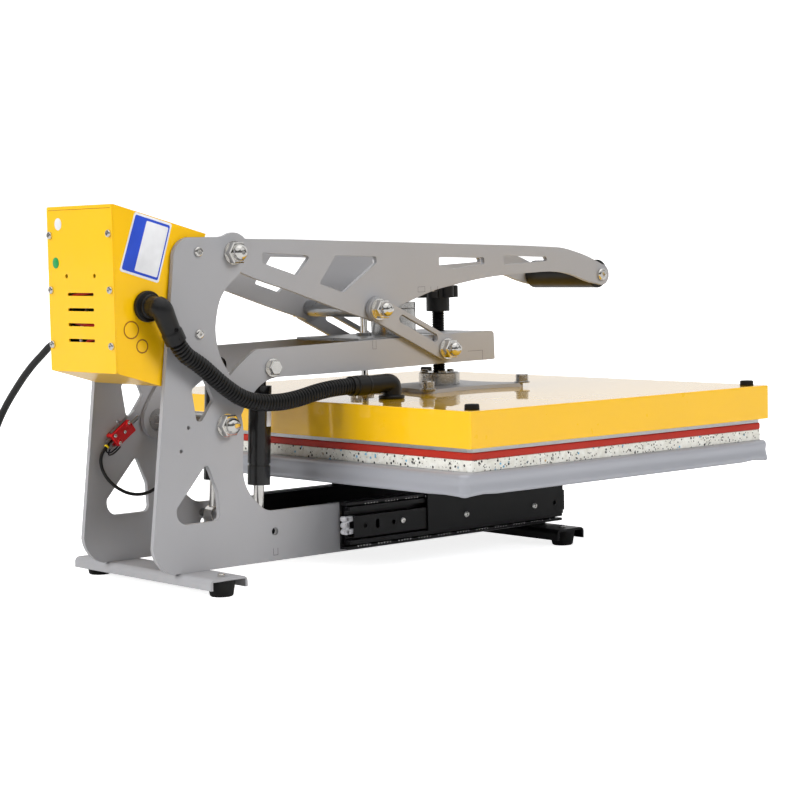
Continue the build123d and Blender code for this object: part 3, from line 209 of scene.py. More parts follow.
def plastic(name, color, rough, grain=0.00004, scale=1300.0, spread=0.12, bevel=0.0006, spec=0.5):
    m = Mat(name)
    m.b.inputs["Specular IOR Level"].default_value = spec
    m.link(m.ramp(m.noise(30.0, 3.0), [(0.3, shade(color, 1 - spread)), (0.7, shade(color, 1 + spread))]),
           m.b.inputs["Base Color"])
    m.link(m.remap(m.noise(90.0, 3.0), rough * 0.88, rough * 1.14), m.b.inputs["Roughness"])
    m.normal(m.bump(m.noise(scale, 2.0), grain, 0.7, m.bevel(bevel) if bevel else None))
    return m.m


GREY = srgb(166, 166, 169)
YELLOW = srgb(252, 196, 4)
M = {
    "grey": paint("grey_powder_coat", GREY, 0.42, 0.025, 0.00003, spec=0.4),
    "yellow": paint("yellow_gloss_coat", YELLOW, 0.34, 0.012, 0.000008, coat=0.45, coat_rough=0.08, spec=0.3),
    "yellow_top": paint("yellow_platen_coat", YELLOW, 0.3, 0.012, 0.000003, coat=1.0, coat_rough=0.015, spec=0.3),
    "black_steel": paint("black_coated_steel", srgb(17, 17, 19), 0.34, 0.1, 0.00003, spec=0.3),
    "tray": paint("tray_silver_coat", srgb(176, 178, 185), 0.34, 0.03, 0.00002, metallic=0.35, bevel=0.0012),
    "chrome": metal("polished_nickel", srgb(222, 220, 216), 0.09, depth=0.000002),
    "ground": metal("ground_steel", srgb(196, 195, 193), 0.24, stretch=(0.05, 1, 1), scale=900.0),
    "zinc": metal("zinc_plate", srgb(176, 177, 178), 0.32, scale=160.0),
    "alu": metal("cast_aluminium", srgb(226, 227, 230), 0.5, scale=420.0, depth=0.00003),
    "black_plastic": plastic("black_moulding", srgb(15, 15, 16), 0.38, spec=0.4),
    "hose": plastic("hose_black", srgb(13, 13, 14), 0.3, spread=0.15, bevel=0, spec=0.4),
    "rubber": plastic("black_rubber", srgb(16, 16, 16), 0.62, 0.00007, 800.0, spec=0.3),
    "cord": plastic("cord_pvc", srgb(14, 14, 15), 0.42, 0.00003, 900.0, bevel=0, spec=0.4),
    "silicone": plastic("red_silicone", srgb(178, 44, 30), 0.5, 0.00005, 700.0, 0.06, 0.0008, spec=0.4),
    "spring_black": paint("spring_black_gloss", srgb(10, 10, 11), 0.24, 0.1, 0.00001, coat=0.3),
    "board": plastic("circuit_green", srgb(24, 84, 44), 0.4),
    "button": plastic("button_grey", srgb(150, 152, 156), 0.45),
    "panel": plastic("panel_overlay", srgb(34, 36, 42), 0.35),
    "rocker": plastic("rocker_black", srgb(20, 20, 22), 0.25),
    "switch_red": plastic("switch_red", srgb(196, 20, 26), 0.35),
    "white_plate": plastic("plate_white", srgb(232, 233, 236), 0.35, 0.00001, bevel=0),
    "blue_plate": plastic("plate_blue", srgb(38, 76, 200), 0.35, 0.00001, bevel=0),
    "white_nylon": plastic("white_nylon", srgb(232, 232, 236), 0.4),
    "green_dot": plastic("green_dot", srgb(30, 150, 80), 0.4, bevel=0),
    # dark grey: painted shade, laid as thin strips where the gaps round the tabs cut through the grey plates
    "gap_shade_grey": plastic("painted_gap_shade", srgb(70, 70, 72), 0.7, bevel=0),
    # dark orange: painted shade on the yellow box, in the seam under the folded top and in the knock-out cuts
    "shade_line_orange": plastic("painted_shade_on_yellow", srgb(150, 88, 6), 0.5, bevel=0),
    "oxide": metal("black_oxide", srgb(34, 33, 34), 0.36, scale=500.0),
    "yellow_mark": plastic("yellow_mark", srgb(235, 205, 20), 0.5, bevel=0),
    "wire_red": plastic("wire_red", srgb(190, 26, 22), 0.4, bevel=0),
    "lens": plastic("display_lens", srgb(12, 4, 6), 0.08, 0.000001),
}


def foam_material():
    """Bonded crumb foam: off-white with dark crumbs in two sizes and a few blue and tan ones."""
    m = Mat("bonded_foam")
    colour = m.ramp(m.noise(190.0, 4.0), [(0.3, srgb(216, 214, 204)), (0.7, srgb(240, 240, 234))])
    for scale, share, reach, stops in (
            (560.0, 0.80, 0.46, [(0.0, srgb(60, 60, 62)), (0.5, srgb(120, 118, 112)), (1.0, srgb(90, 86, 80))]),
            (300.0, 0.83, 0.36, [(0.0, srgb(22, 22, 24)), (0.72, srgb(44, 44, 48)), (0.80, srgb(70, 66, 62)),
                                 (0.86, srgb(110, 176, 208)), (0.94, srgb(96, 176, 214)), (1.0, srgb(196, 160, 110))])):
        v = m.node("ShaderNodeTexVoronoi")
        v.inputs["Scale"].default_value = scale
        m.link(m.coord, v.inputs["Vector"])
        rnd = m.node("ShaderNodeSeparateColor")
        m.link(v.outputs["Color"], rnd.inputs["Color"])
        speck = m.ramp(rnd.outputs["Red"], stops)
        chosen = m.node("ShaderNodeMath", operation="GREATER_THAN")
        m.link(rnd.outputs["Green"], chosen.inputs[0])
        chosen.inputs[1].default_value = share
        near = m.node("ShaderNodeMath", operation="LESS_THAN")
        m.link(v.outputs["Distance"], near.inputs[0])
        near.inputs[1].default_value = reach
        both = m.node("ShaderNodeMath", operation="MULTIPLY")
        m.link(chosen.outputs[0], both.inputs[0])
        m.link(near.outputs[0], both.inputs[1])
        mix = m.node("ShaderNodeMix", data_type="RGBA")
        m.link(both.outputs[0], mix.inputs["Factor"])
        m.link(colour, mix.inputs["A"])
        m.link(speck, mix.inputs["B"])
        colour = mix.outputs["Result"]
    m.link(colour, m.b.inputs["Base Color"])
    m.set(Roughness=0.85)
    m.normal(m.bump(m.noise(420.0, 5.0), 0.0005, 0.8))
    return m.m


M["foam"] = foam_material()

LOOK = {
    "grey": ["side_plate_left", "side_plate_right", "rear_foot_channel", "lever_plate_left", "lever_plate_right",
             "lever_bridge", "link_pair", "arm_plate_left", "arm_plate_right", "arm_front_box", "mounting_plate"],
    "yellow": ["control_box_shell", "box_back_panel"],
    "yellow_top": ["platen_cover"],
    "black_steel": ["front_foot_channel", "rail_pan", "slide_outer_members", "slide_middle_members",
                    "slide_inner_members", "drawer_brackets"],
    "tray": ["table_tray"],
    "chrome": ["frame_screws", "pivot_bolts", "link_upper_nuts", "arm_pins", "grip_bolts", "gas_spring_rods",
               "guide_rod"],
    "ground": ["electromagnet", "armature_disc", "platen_bolts", "screw_collar", "arm_cross_tube"],
    "zinc": ["arm_cross_plate", "lever_cross_tubes", "micro_switch_plunger", "spring_anchor_rod"],
    "alu": ["heating_plate"],
    "black_plastic": ["handle_grip", "star_knob", "strain_relief", "hose_elbow_box", "hose_elbow_platen"],
    "hose": ["heater_hose"],
    "rubber": ["rubber_feet"],
    "cord": ["mains_cord", "cord_coil", "mains_plug", "switch_lead"],
    "silicone": ["silicone_sheet"],
    "foam": ["foam_pad"],
    "spring_black": ["gas_spring_cylinders"],
    "board": ["circuit_board"],
    "button": ["button_mode", "button_down", "button_up"],
    "panel": ["control_panel"],
    "rocker": ["power_rocker"],
    "switch_red": ["micro_switch"],
    "oxide": ["threaded_spindle"],
}
for key, names in LOOK.items():
    for n in names:
        o = NODES[n]
        o.data.materials.clear()
        o.data.materials.append(M[key])


# ---------------------------------------------------------------------------
# Mesh helpers
# ---------------------------------------------------------------------------
def obj(name, bm, mat, body, smooth=True, angle=35.0):
    mesh = bpy.data.meshes.new(name)
    bmesh.ops.recalc_face_normals(bm, faces=bm.faces)
    bm.to_mesh(mesh)
    bm.free()
    mesh.materials.append(M[mat])
    o = bpy.data.objects.new(name, mesh)
    bpy.context.scene.collection.objects.link(o)
    if smooth:
        mesh.shade_smooth()
        mesh.set_sharp_from_angle(angle=math.radians(angle))
    if body:
        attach(o, body)
    return o


def axis_frame(z):
    z = Vector(z).normalized()
    x = Vector((0, 0, 1)).cross(z)
    if x.length < 1e-4:
        x = Vector((1, 0, 0))
    x.normalize()
    return x, z.cross(x), z


def lathe(bm, profile, origin, axis, segs=48, start=0.0):
    """profile is (radius, height) in mm along axis from origin (metres)."""
    x, y, z = axis_frame(axis)
    rings = []
    for r, h in profile:
        c = origin + z * (h / 1000.0)
        if r < 1e-6:
            rings.append([bm.verts.new(c)])
        else:
            rings.append([bm.verts.new(c + (x * math.cos(t) + y * math.sin(t)) * (r / 1000.0))
                          for t in (start + 2 * math.pi * k / segs for k in range(segs))])
    for a, b in zip(rings, rings[1:]):
        if len(a) == 1 and len(b) == 1:
            continue
        for k in range(segs):
            n = (k + 1) % segs
            if len(a) == 1:
                bm.faces.new((a[0], b[k], b[n]))
            elif len(b) == 1:
                bm.faces.new((a[k], b[0], a[n]))
            else:
                bm.faces.new((a[k], b[k], b[n], a[n]))
    return bm


def block(bm, lo, hi, bevel=0.3, matrix=None):
    """A bevelled block between two corners in metres; bevel in mm."""
    made = bmesh.ops.create_cube(bm, size=1.0)
    vs = made["verts"]
    lo, hi = Vector(lo), Vector(hi)
    for v in vs:
        v.co = Vector([lo[i] + (v.co[i] + 0.5) * (hi[i] - lo[i]) for i in range(3)])
    if bevel:
        es = list({e for v in vs for e in v.link_edges})
        got = bmesh.ops.bevel(bm, geom=es, offset=bevel / 1000.0, segments=2, affect="EDGES", profile=0.5)
        vs = list({v for f in got["faces"] for v in f.verts} | {v for v in vs if v.is_valid})
    if matrix is not None:
        for v in vs:
            v.co = matrix @ v.co
    return bm


def nurbs_line(points, step=0.0008):
    """Points, evenly spaced, on the NURBS spline with these control points."""
    cu = bpy.data.curves.new("route", "CURVE")
    cu.dimensions = "3D"
    cu.resolution_u = 24
    sp = cu.splines.new("NURBS")
    sp.points.add(len(points) - 1)
    for p, co in zip(sp.points, points):
        p.co = (*co, 1.0)
    sp.order_u = 3
    sp.use_endpoint_u = True
    ob = bpy.data.objects.new("route", cu)
    bpy.context.scene.collection.objects.link(ob)
    me = bpy.data.meshes.new_from_object(ob)
    line = [v.co.copy() for v in me.vertices]
    bpy.data.objects.remove(ob)
    bpy.data.curves.remove(cu)
    bpy.data.meshes.remove(me)
    if (line[0] - Vector(points[0])).length > (line[-1] - Vector(points[0])).length:
        line.reverse()
    # even spacing
    d = [0.0]
    for a, b in zip(line, line[1:]):
        d.append(d[-1] + (b - a).length)
    n = max(2, int(round(d[-1] / step)))
    out, j = [], 0
    for k in range(n + 1):
        t = d[-1] * k / n
        while j < len(d) - 2 and d[j + 1] < t:
            j += 1
        u = (t - d[j]) / max(1e-9, d[j + 1] - d[j])
        out.append(line[j].lerp(line[j + 1], min(1.0, max(0.0, u))))
    return out


def tube(bm, line, radius, segs=36, cap=True):
    """A tube along line; radius(s) in metres, s the distance along it."""
    tangents = []
    for k in range(len(line)):
        a, b = line[max(0, k - 1)], line[min(len(line) - 1, k + 1)]
        tangents.append((b - a).normalized())
    x = Vector((0, 0, 1)).cross(tangents[0])
    if x.length < 1e-3:
        x = Vector((1, 0, 0)).cross(tangents[0])
    x.normalize()
    rings, s = [], 0.0
    for k, (p, t) in enumerate(zip(line, tangents)):
        if k:
            s += (p - line[k - 1]).length
        x = (x - t * x.dot(t)).normalized()
        y = t.cross(x)
        r = radius(s)
        rings.append([bm.verts.new(p + (x * math.cos(a) + y * math.sin(a)) * r)
                      for a in (2 * math.pi * i / segs for i in range(segs))])
    for a, b in zip(rings, rings[1:]):
        for i in range(segs):
            n = (i + 1) % segs
            bm.faces.new((a[i], b[i], b[n], a[n]))
    if cap:
        bm.faces.new(rings[0])
        bm.faces.new(list(reversed(rings[-1])))
    return bm


# ---------------------------------------------------------------------------
# Mains cord: same route as the CAD tube, then the put-away coil
# ---------------------------------------------------------------------------
RELIEF_END = 71.0
CORD_ROUTE = [(RELIEF_END, 95.0, 223.5), (86.5, 95.0, 223.5), (103.0, 94.6, 213.6),
              (121.0, 94.2, 203.7), (140.0, 93.4, 191.6), (160.0, 92.0, 177.2), (178.0, 90.8, 163.4),
              (195.5, 90.0, 146.6), (210.0, 90.2, 125.0), (221.5, 90.8, 101.0), (231.5, 91.6, 76.0),
              (242.5, 92.8, 50.5), (257.0, 94.0, 29.0), (275.0, 95.2, 13.6), (295.0, 96.6, 4.8), (311.6, 97.2, 3.9)]
COIL = (328.0, 140.0)
CORD_D = 7.0


def cord_points():
    pts = list(CORD_ROUTE)
    # two beside each other, three high; each turn steps to its next seat over a long hump
    seats = [(42.8, 3.8), (35.6, 3.8), (36.0, 10.6), (42.6, 10.8), (42.4, 17.6), (35.8, 17.6)]
    per = 14
    rng = random.Random(5)
    total = int(5.15 * per)
    for k in range(1, total + 1):
        turn = k / per
        i = min(int(turn), len(seats) - 1)
        f = turn - int(turn)
        a, b = seats[i], seats[min(i + 1, len(seats) - 1)]
        w = 0.0 if f < 0.72 else (f - 0.72) / 0.28
        w = w * w * (3 - 2 * w)
        r = a[0] + (b[0] - a[0]) * w + rng.uniform(-0.15, 0.15)
        z = a[1] + (b[1] - a[1]) * w
        ang = -math.pi / 2 + 2 * math.pi * turn
        pts.append((COIL[0] + r * math.cos(ang), COIL[1] + r * math.sin(ang), z))
    return pts


def make_cord():
    cu = bpy.data.curves.new("mains_flex", "CURVE")
    cu.dimensions = "3D"
    cu.resolution_u = 8
    cu.bevel_depth = CORD_D / 2000.0
    cu.bevel_resolution = 6
    cu.use_fill_caps = True
    pts = cord_points()
    sp = cu.splines.new("NURBS")
    sp.points.add(len(pts) - 1)
    for p, co in zip(sp.points, pts):
        p.co = (*P(*co), 1.0)
    sp.order_u = 3
    sp.use_endpoint_u = True
    cu.materials.append(M["cord"])
    o = bpy.data.objects.new("mains_flex", cu)
    bpy.context.scene.collection.objects.link(o)
    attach(o, "frame")
    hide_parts("mains_cord", "cord_coil")
    line = nurbs_line([P(*p) for p in pts], 0.004)
    length = sum((b - a).length for a, b in zip(line, line[1:]))
    return o, length


flex, flex_length = make_cord()


def make_tie():
    """A thin flat strap round the bundle."""
    bm = bmesh.new()
    c = P(COIL[0] - 39.2, COIL[1], 10.75)
    rings = []
    for i in range(64):
        t = 2 * math.pi * i / 64
        co, si = math.cos(t), math.sin(t)
        m = (abs(co) ** 4 + abs(si) ** 4) ** -0.25
        ring = []
        for w, d in ((-2.4, 0.0), (2.4, 0.0), (2.4, 0.25), (-2.4, 0.25)):
            ring.append(bm.verts.new(c + Vector(((7.75 + d) * co * m, w, (10.45 + d) * si * m)) / 1000.0))
        rings.append(ring)
    for i in range(64):
        a, b = rings[i], rings[(i + 1) % 64]
        for k in range(4):
            n = (k + 1) % 4
            bm.faces.new((a[k], a[n], b[n], b[k]))
    return obj("coil_tie", bm, "rubber", "frame")


tie = make_tie()


def make_relief():
    bm = bmesh.new()
    prof = [(0, -4.9), (5.8, -4.9), (5.8, 0.05), (8.2, 0.05), (8.6, 0.5), (8.6, 2.6), (8.2, 3.0), (6.9, 3.0)]
    h, r = 4.2, 6.8
    while h < 15.0:
        rr = 6.8 - (h - 3) / 15.0 * 2.0
        prof += [(rr, h), (rr, h + 2.0), (rr - 1.0, h + 2.4), (rr - 1.0, h + 3.2)]
        h += 3.6
    prof += [(4.7, 17.2), (4.6, 17.7), (4.2, 18.0), (0, 18.0)]
    lathe(bm, prof, P(53.0, 95.0, 223.5), (1, 0, 0), 40)
    o = obj("cord_boot", bm, "black_plastic", "frame")
    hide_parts("strain_relief")
    return o


boot = make_relief()


def make_plug():
    """Moulded two-pin plug lying on the coil, narrowing towards the cord end."""
    bm = bmesh.new()
    cx, cy, z0 = COIL[0], COIL[1], 22.0
    sections = [(-22.0, 6.0, 5.0), (-19.0, 9.5, 6.6), (-12.0, 13.0, 7.4), (-4.0, 15.4, 7.9), (4.0, 16.6, 8.2),
                (12.0, 17.4, 8.4), (19.0, 17.8, 8.4), (21.4, 17.2, 8.0), (22.0, 16.2, 7.2)]
    rings = []
    for y, w, h in sections:
        ring = []
        for k in range(40):
            t = 2 * math.pi * k / 40
            c, s = math.cos(t), math.sin(t)
            n = 3.2
            m = (abs(c) ** n + abs(s) ** n) ** (-1 / n)
            ring.append(bm.verts.new(P(cx + w * c * m, cy + y, z0 + 8.5 + h * s * m)))
        rings.append(ring)
    for a, b in zip(rings, rings[1:]):
        for i in range(40):
            n = (i + 1) % 40
            bm.faces.new((a[i], b[i], b[n], a[n]))
    bm.faces.new(rings[0])
    bm.faces.new(list(reversed(rings[-1])))
    o = obj("plug_body", bm, "cord", "frame")
    pins = bmesh.new()
    for x in (-9.5, 9.5):
        lathe(pins, [(0, -0.5), (2.4, -0.5), (2.4, 17.2), (1.9, 18.6), (0, 19.0)], P(cx + x, cy + 22.0, z0 + 8.5), (0, 1, 0), 24)
    p = obj("plug_pins", pins, "chrome", "frame")
    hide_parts("mains_plug")
    return o, p


plug, plug_pins = make_plug()


# ---------------------------------------------------------------------------
# Corrugated hose and its two elbows
# ---------------------------------------------------------------------------
HOSE_X = -73.0
HOSE_ROUTE = [(68.91, 230.83), (61.0, 216.0), (41.6, 205.4), (19.0, 186.6), (-4.6, 171.2), (-31.0, 165.8),
              (-63.0, 166.6), (-106.0, 176.0), (-136.0, 176.0)]
HOSE_PITCH = 0.0034


def hose_radius(s):
    u = (s / HOSE_PITCH) % 1.0
    k = 0.5 - 0.5 * math.cos(2 * math.pi * u)
    return 0.0064 + 0.0016 * min(1.0, k * 1.6) ** 0.8


def make_hose():
    line = nurbs_line([P(HOSE_X, y, z) for y, z in HOSE_ROUTE], HOSE_PITCH / 8.0)
    length = sum((b - a).length for a, b in zip(line, line[1:]))
    step = length / (len(line) - 1)
    per = int(round(HOSE_PITCH / step))
    cut = (int(len(line) * 0.56) // per) * per
    parts = []
    for name, part, off in (("hose_rear", line[:cut + 1], 0.0), ("hose_front", line[cut:], cut * step)):
        bm = bmesh.new()
        tube(bm, part, lambda s, off=off: hose_radius(s + off), 36)
        o = obj(name, bm, "hose", None, angle=80)
        parts.append((o, part))
    (rear, rl), (front, fl) = parts
    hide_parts("heater_hose")
    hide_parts("heater_hose")
    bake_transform(rear)
    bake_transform(front)
    return length


hose_length = make_hose()


def make_elbows():
    d = Vector((0, 69.0 - 83.5, 231.0 - 258.2)).normalized()
    # upper: round flange and boss on the box, domed elbow, collar over the hose
    bm = bmesh.new()
    c = P(-53.0, 83.5, 258.2)
    lathe(bm, [(0, 0), (13.2, 0), (14.0, 0.8), (14.0, 3.6), (13.2, 4.6), (10.6, 5.0), (10.6, 8.0), (9.9, 8.8), (0, 8.8)],
          c, (-1, 0, 0), 48)
    pts = [P(-55.0, 83.5, 258.2), P(-66.0, 83.5, 258.2), P(-75.0, 82.6, 256.6), P(-73.8, 78.6, 249.2),
           P(-73.0, 73.4, 239.3), P(-73.0, 66.6, 226.5)]
    line = nurbs_line(pts, 0.0009)
    total = sum((b - a).length for a, b in zip(line, line[1:]))

    def r(s):
        u = s / total
        if u > 0.80:
            return 0.0097
        if u > 0.79:
            return 0.0093
        if u < 0.30:
            return 0.0092
        return 0.0101 - 0.0013 * (u - 0.30) / 0.49
    tube(bm, line, r, 40)
    o = obj("elbow_upper", bm, "black_plastic", "frame", angle=40)
    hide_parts("hose_elbow_box")
    sc = bmesh.new()
    side = Vector((-1, 0, 0))
    for k in (0.0, 1.0):
        at = P(-73.0, 75.2, 242.6) + d * (0.006 + 0.0085 * k) + side * 0.0083
        lathe(sc, [(0, 0.9), (1.0, 0.9), (1.2, 1.3), (1.9, 1.3), (2.1, 0.9), (2.1, 0)], at, side, 20)
    obj("elbow_screws", sc, "oxide", "frame")

    # lower: collar over the hose end, bend, round foot on the platen cover
    bm = bmesh.new()
    pts = [P(HOSE_X, -131.5, 176.0), P(HOSE_X, -146.0, 176.0), P(HOSE_X, -166.0, 176.0), P(HOSE_X, -183.5, 177.0),
           P(HOSE_X, -184.4, 169.0), P(HOSE_X, -183.5, 161.4)]
    line = nurbs_line(pts, 0.0008)

    def r2(s):
        if s < 0.0045:
            return 0.0093
        if s < 0.0058:
            return 0.0085
        if s < 0.0185:
            return 0.0097
        if s < 0.0196:
            return 0.0088
        if s < 0.0215:
            return 0.0095
        return 0.0090
    tube(bm, line, r2, 40)
    lathe(bm, [(0, 0.05), (12.0, 0.05), (12.6, 0.5), (12.6, 2.6), (12.0, 3.3), (9.6, 3.6), (0, 3.6)],
          P(HOSE_X, -183.5, 161.0), (0, 0, 1), 48)
    o = obj("elbow_lower", bm, "black_plastic", "platen", angle=40)
    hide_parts("hose_elbow_platen")


make_elbows()


# ---------------------------------------------------------------------------
# Switch lead, along its CAD route
# ---------------------------------------------------------------------------
def switch_point(u, n=0.0):
    a = math.radians(-35.6)
    return (46.5 + u * math.cos(a) - n * math.sin(a), 138.3 + u * math.sin(a) + n * math.cos(a))


LEAD_ROUTE = [(49.0, *switch_point(12.0)), (49.0, *switch_point(21.0)), (48.4, 70.8, 117.4),
              (47.2, 70.0, 104.4), (45.5, 61.0, 91.2), (43.0, 44.6, 80.6), (40.0, 26.0, 79.0),
              (37.0, 9.6, 88.0), (30.0, -2.5, 99.0), (14.0, -7.0, 108.0), (-5.0, -3.0, 114.5),
              (-22.0, 6.5, 122.5), (-32.0, 18.0, 134.5), (-34.5, 26.5, 151.0), (-35.0, 30.6, 170.0),
              (-35.5, 37.4, 187.6), (-36.0, 49.0, 199.0), (-36.5, 58.98, 206.0)]


def make_lead():
    bm = bmesh.new()
    line = nurbs_line([P(*p) for p in LEAD_ROUTE], 0.0012)
    tube(bm, line, lambda s: 0.0016, 18)
    o = obj("switch_flex", bm, "cord", "frame")
    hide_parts("switch_lead")


make_lead()


# ---------------------------------------------------------------------------
# Adjusting screw with a real thread
# ---------------------------------------------------------------------------
def make_spindle():
    bm = bmesh.new()
    c = P(0, -312.0, 0)
    z0, z1, pitch, segs, step = 165.3, 256.8, 2.5, 40, 0.25
    rows = int((z1 - z0) / step)
    rings = []
    for k in range(rows + 1):
        z = z0 + (z1 - z0) * k / rows
        fade = min(1.0, (z - z0) / 1.5, (z1 - z) / 1.5)
        ring = []
        for i in range(segs):
            t = 2 * math.pi * i / segs
            u = (z / pitch - i / segs) % 1.0
            tri = 1 - abs(2 * u - 1)
            r = 6.48 - 0.8 * min(1.0, max(0.0, (1 - tri) * 1.35 - 0.12)) - (1 - max(0.0, fade)) * 0.8
            ring.append(bm.verts.new(c + Vector((r * math.cos(t), r * math.sin(t), z)) / 1000.0))
        rings.append(ring)
    for a, b in zip(rings, rings[1:]):
        for i in range(segs):
            n = (i + 1) % segs
            bm.faces.new((a[i], a[n], b[n], b[i]))
    bm.faces.new(list(reversed(rings[0])))
    bm.faces.new(rings[-1])
    o = obj("screw_thread", bm, "oxide", "adjusting_screw", angle=60)
    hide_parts("threaded_spindle")


make_spindle()


# ---------------------------------------------------------------------------
# Foam pad and silicone sheet
# ---------------------------------------------------------------------------
def slab(name, lo, hi, mat, edge, nx, ny, wobble, seed, crown=0.0):
    """A slab with rounded long edges and slightly uneven cut faces."""
    rng = random.Random(seed)
    lo, hi = Vector(lo), Vector(hi)
    c, h = (lo + hi) / 2, (hi - lo) / 2
    prof = []
    for k in range(9):
        t = math.pi / 2 * (k / 4 - 1)
        prof.append((h.x - edge + edge * math.cos(t), h.y - edge + edge * math.cos(t),
                     math.copysign(h.z - edge, math.sin(t) if abs(math.sin(t)) > 1e-6 else 1) + edge * math.sin(t)))
    zs = []
    for k in range(5):
        t = -math.pi / 2 + math.pi / 2 * k / 4
        zs.append((edge * (1 - math.cos(t)), -h.z + edge + edge * math.sin(t)))
    for k in range(5):
        t = math.pi / 2 * k / 4
        zs.append((edge * (1 - math.cos(t)), h.z - edge + edge * math.sin(t)))
    waves = [(rng.uniform(20, 70), rng.uniform(0, 6.3), rng.uniform(0.3, 1.0)) for _ in range(7)]

    def uneven(s):
        return wobble * sum(a * math.sin(w * s + p) for w, p, a in waves) / 3.0
    outline = []
    corner = max(edge, 0.003)
    for i in range(nx):
        outline.append((-h.x + corner + (2 * h.x - 2 * corner) * i / nx, -h.y, 0, -1))
    for k in range(5):
        t = -math.pi / 2 + math.pi / 2 * k / 5
        outline.append((h.x - corner + corner * math.cos(t), -h.y + corner + corner * math.sin(t), math.cos(t), math.sin(t)))
    for i in range(ny):
        outline.append((h.x, -h.y + corner + (2 * h.y - 2 * corner) * i / ny, 1, 0))
    for k in range(5):
        t = math.pi / 2 * k / 5
        outline.append((h.x - corner + corner * math.cos(t), h.y - corner + corner * math.sin(t), math.cos(t), math.sin(t)))
    for i in range(nx):
        outline.append((h.x - corner - (2 * h.x - 2 * corner) * i / nx, h.y, 0, 1))
    for k in range(5):
        t = math.pi / 2 + math.pi / 2 * k / 5
        outline.append((-h.x + corner + corner * math.cos(t), h.y - corner + corner * math.sin(t), math.cos(t), math.sin(t)))
    for i in range(ny):
        outline.append((-h.x, h.y - corner - (2 * h.y - 2 * corner) * i / ny, -1, 0))
    for k in range(5):
        t = math.pi + math.pi / 2 * k / 5
        outline.append((-h.x + corner + corner * math.cos(t), -h.y + corner + corner * math.sin(t), math.cos(t), math.sin(t)))
    bm = bmesh.new()
    rings = []
    for inset, z in zs:
        ring = []
        for i, (x, y, nxx, nyy) in enumerate(outline):
            s = math.atan2(y, x) * 0.3 + x + y
            d = -inset - abs(uneven(s)) + crown * (1 - (z / h.z) ** 2)
            ring.append(bm.verts.new(c + Vector((x + nxx * d, y + nyy * d, z))))
        rings.append(ring)
    n = len(outline)
    for a, b in zip(rings, rings[1:]):
        for i in range(n):
            j = (i + 1) % n
            bm.faces.new((a[i], a[j], b[j], b[i]))
    bm.faces.new(list(reversed(rings[0])))
    bm.faces.new(rings[-1])
    return obj(name, bm, mat, "drawer", angle=50)


foam = slab("foam_slab", P(-250, -521, 106.0), P(250, -121, 116.6), "foam", 0.0008, 60, 50, 0.00035, 3)
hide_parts("foam_pad")
red = slab("silicone_slab", P(-250, -521, 116.6), P(250, -121, 123.3), "silicone", 0.0014, 40, 32, 0.0001, 4)
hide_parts("silicone_sheet")


# ---------------------------------------------------------------------------
# Pressed table tray: soft skirt, its corners drawn out by the press
# ---------------------------------------------------------------------------
def tray_piece():
    cx, cy, hx, hy, z1 = 0.0, -317.0, 257.0, 211.0, 106.0
    rng = random.Random(9)
    waves = [(rng.uniform(0.01, 0.035), rng.uniform(0, 6.3)) for _ in range(5)]
    # depth under the top, and how far the wall stands in from the widest line
    profile = [(0.0, 9.0), (0.0, 5.4), (0.35, 3.4), (1.3, 1.7), (2.8, 0.75), (4.6, 0.6), (7.0, 1.0), (9.6, 1.35),
               (12.2, 1.15), (14.6, 0.55), (16.8, 0.1), (18.6, 0.0), (19.8, 0.35), (20.6, 1.1), (21.0, 2.2),
               (20.4, 3.0), (18.0, 3.0), (12.0, 3.4), (4.0, 3.4), (1.5, 4.6), (1.5, 9.0)]
    r = 9.0
    outline = []
    for (sx, sy), start in zip(((1, -1), (1, 1), (-1, 1), (-1, -1)), (-90, 0, 90, 180)):
        ox, oy = cx + sx * (hx - r), cy + sy * (hy - r)
        for k in range(13):
            t = math.radians(start + 90.0 * k / 12)
            w = math.sin(math.pi * k / 12)
            outline.append((ox + r * math.cos(t), oy + r * math.sin(t), math.cos(t), math.sin(t), w))
        nx, ny = ((1, 1), (-1, 1), (-1, -1), (1, -1))[((1, -1), (1, 1), (-1, 1), (-1, -1)).index((sx, sy))]
        ex, ey = cx + nx * (hx - r), cy + ny * (hy - r)
        t = math.radians(start + 90.0)
        ax, ay = ox + r * math.cos(t), oy + r * math.sin(t)
        bx, by = ex + r * math.cos(t), ey + r * math.sin(t)
        for k in range(1, 24):
            f = k / 24
            edge = min(f, 1 - f) * math.hypot(bx - ax, by - ay)
            w = -0.55 * math.exp(-((edge - 13.0) / 9.0) ** 2)
            outline.append((ax + (bx - ax) * f, ay + (by - ay) * f, math.cos(t), math.sin(t), w))
    bm = bmesh.new()
    rings = []
    for depth, inset in profile:
        ring = []
        for x, y, nx, ny, w in outline:
            low = max(0.0, min(1.0, (depth - 3.0) / 14.0))
            soft = 0.10 * sum(math.sin(q * (x - 1.3 * y) + ph) for q, ph in waves) if inset < 5 else 0.0
            d = inset + soft * (1 if 1.0 < depth < 18 else 0)
            drop = 0.0
            if inset < 3.3:
                d += -low * min(0.0, w) * 1.9 + (1 - low) * max(0.0, w) * 0.5
                drop = low * (0.8 * max(w, 0.0) - 0.8 + 2.0 * min(w, 0.0))
            d = max(0.0, d)
            ring.append(bm.verts.new(P(x - nx * d, y - ny * d, z1 - max(0.0, min(21.0, depth + drop)))))
        rings.append(ring)
    n = len(outline)
    for a, b in zip(rings, rings[1:]):
        for i in range(n):
            j = (i + 1) % n
            bm.faces.new((a[i], b[i], b[j], a[j]))
    bm.faces.new(rings[0])
    bm.faces.new(list(reversed(rings[-1])))
    o = obj("pressed_tray", bm, "tray", "drawer", angle=50)
    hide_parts("table_tray")


tray_piece()


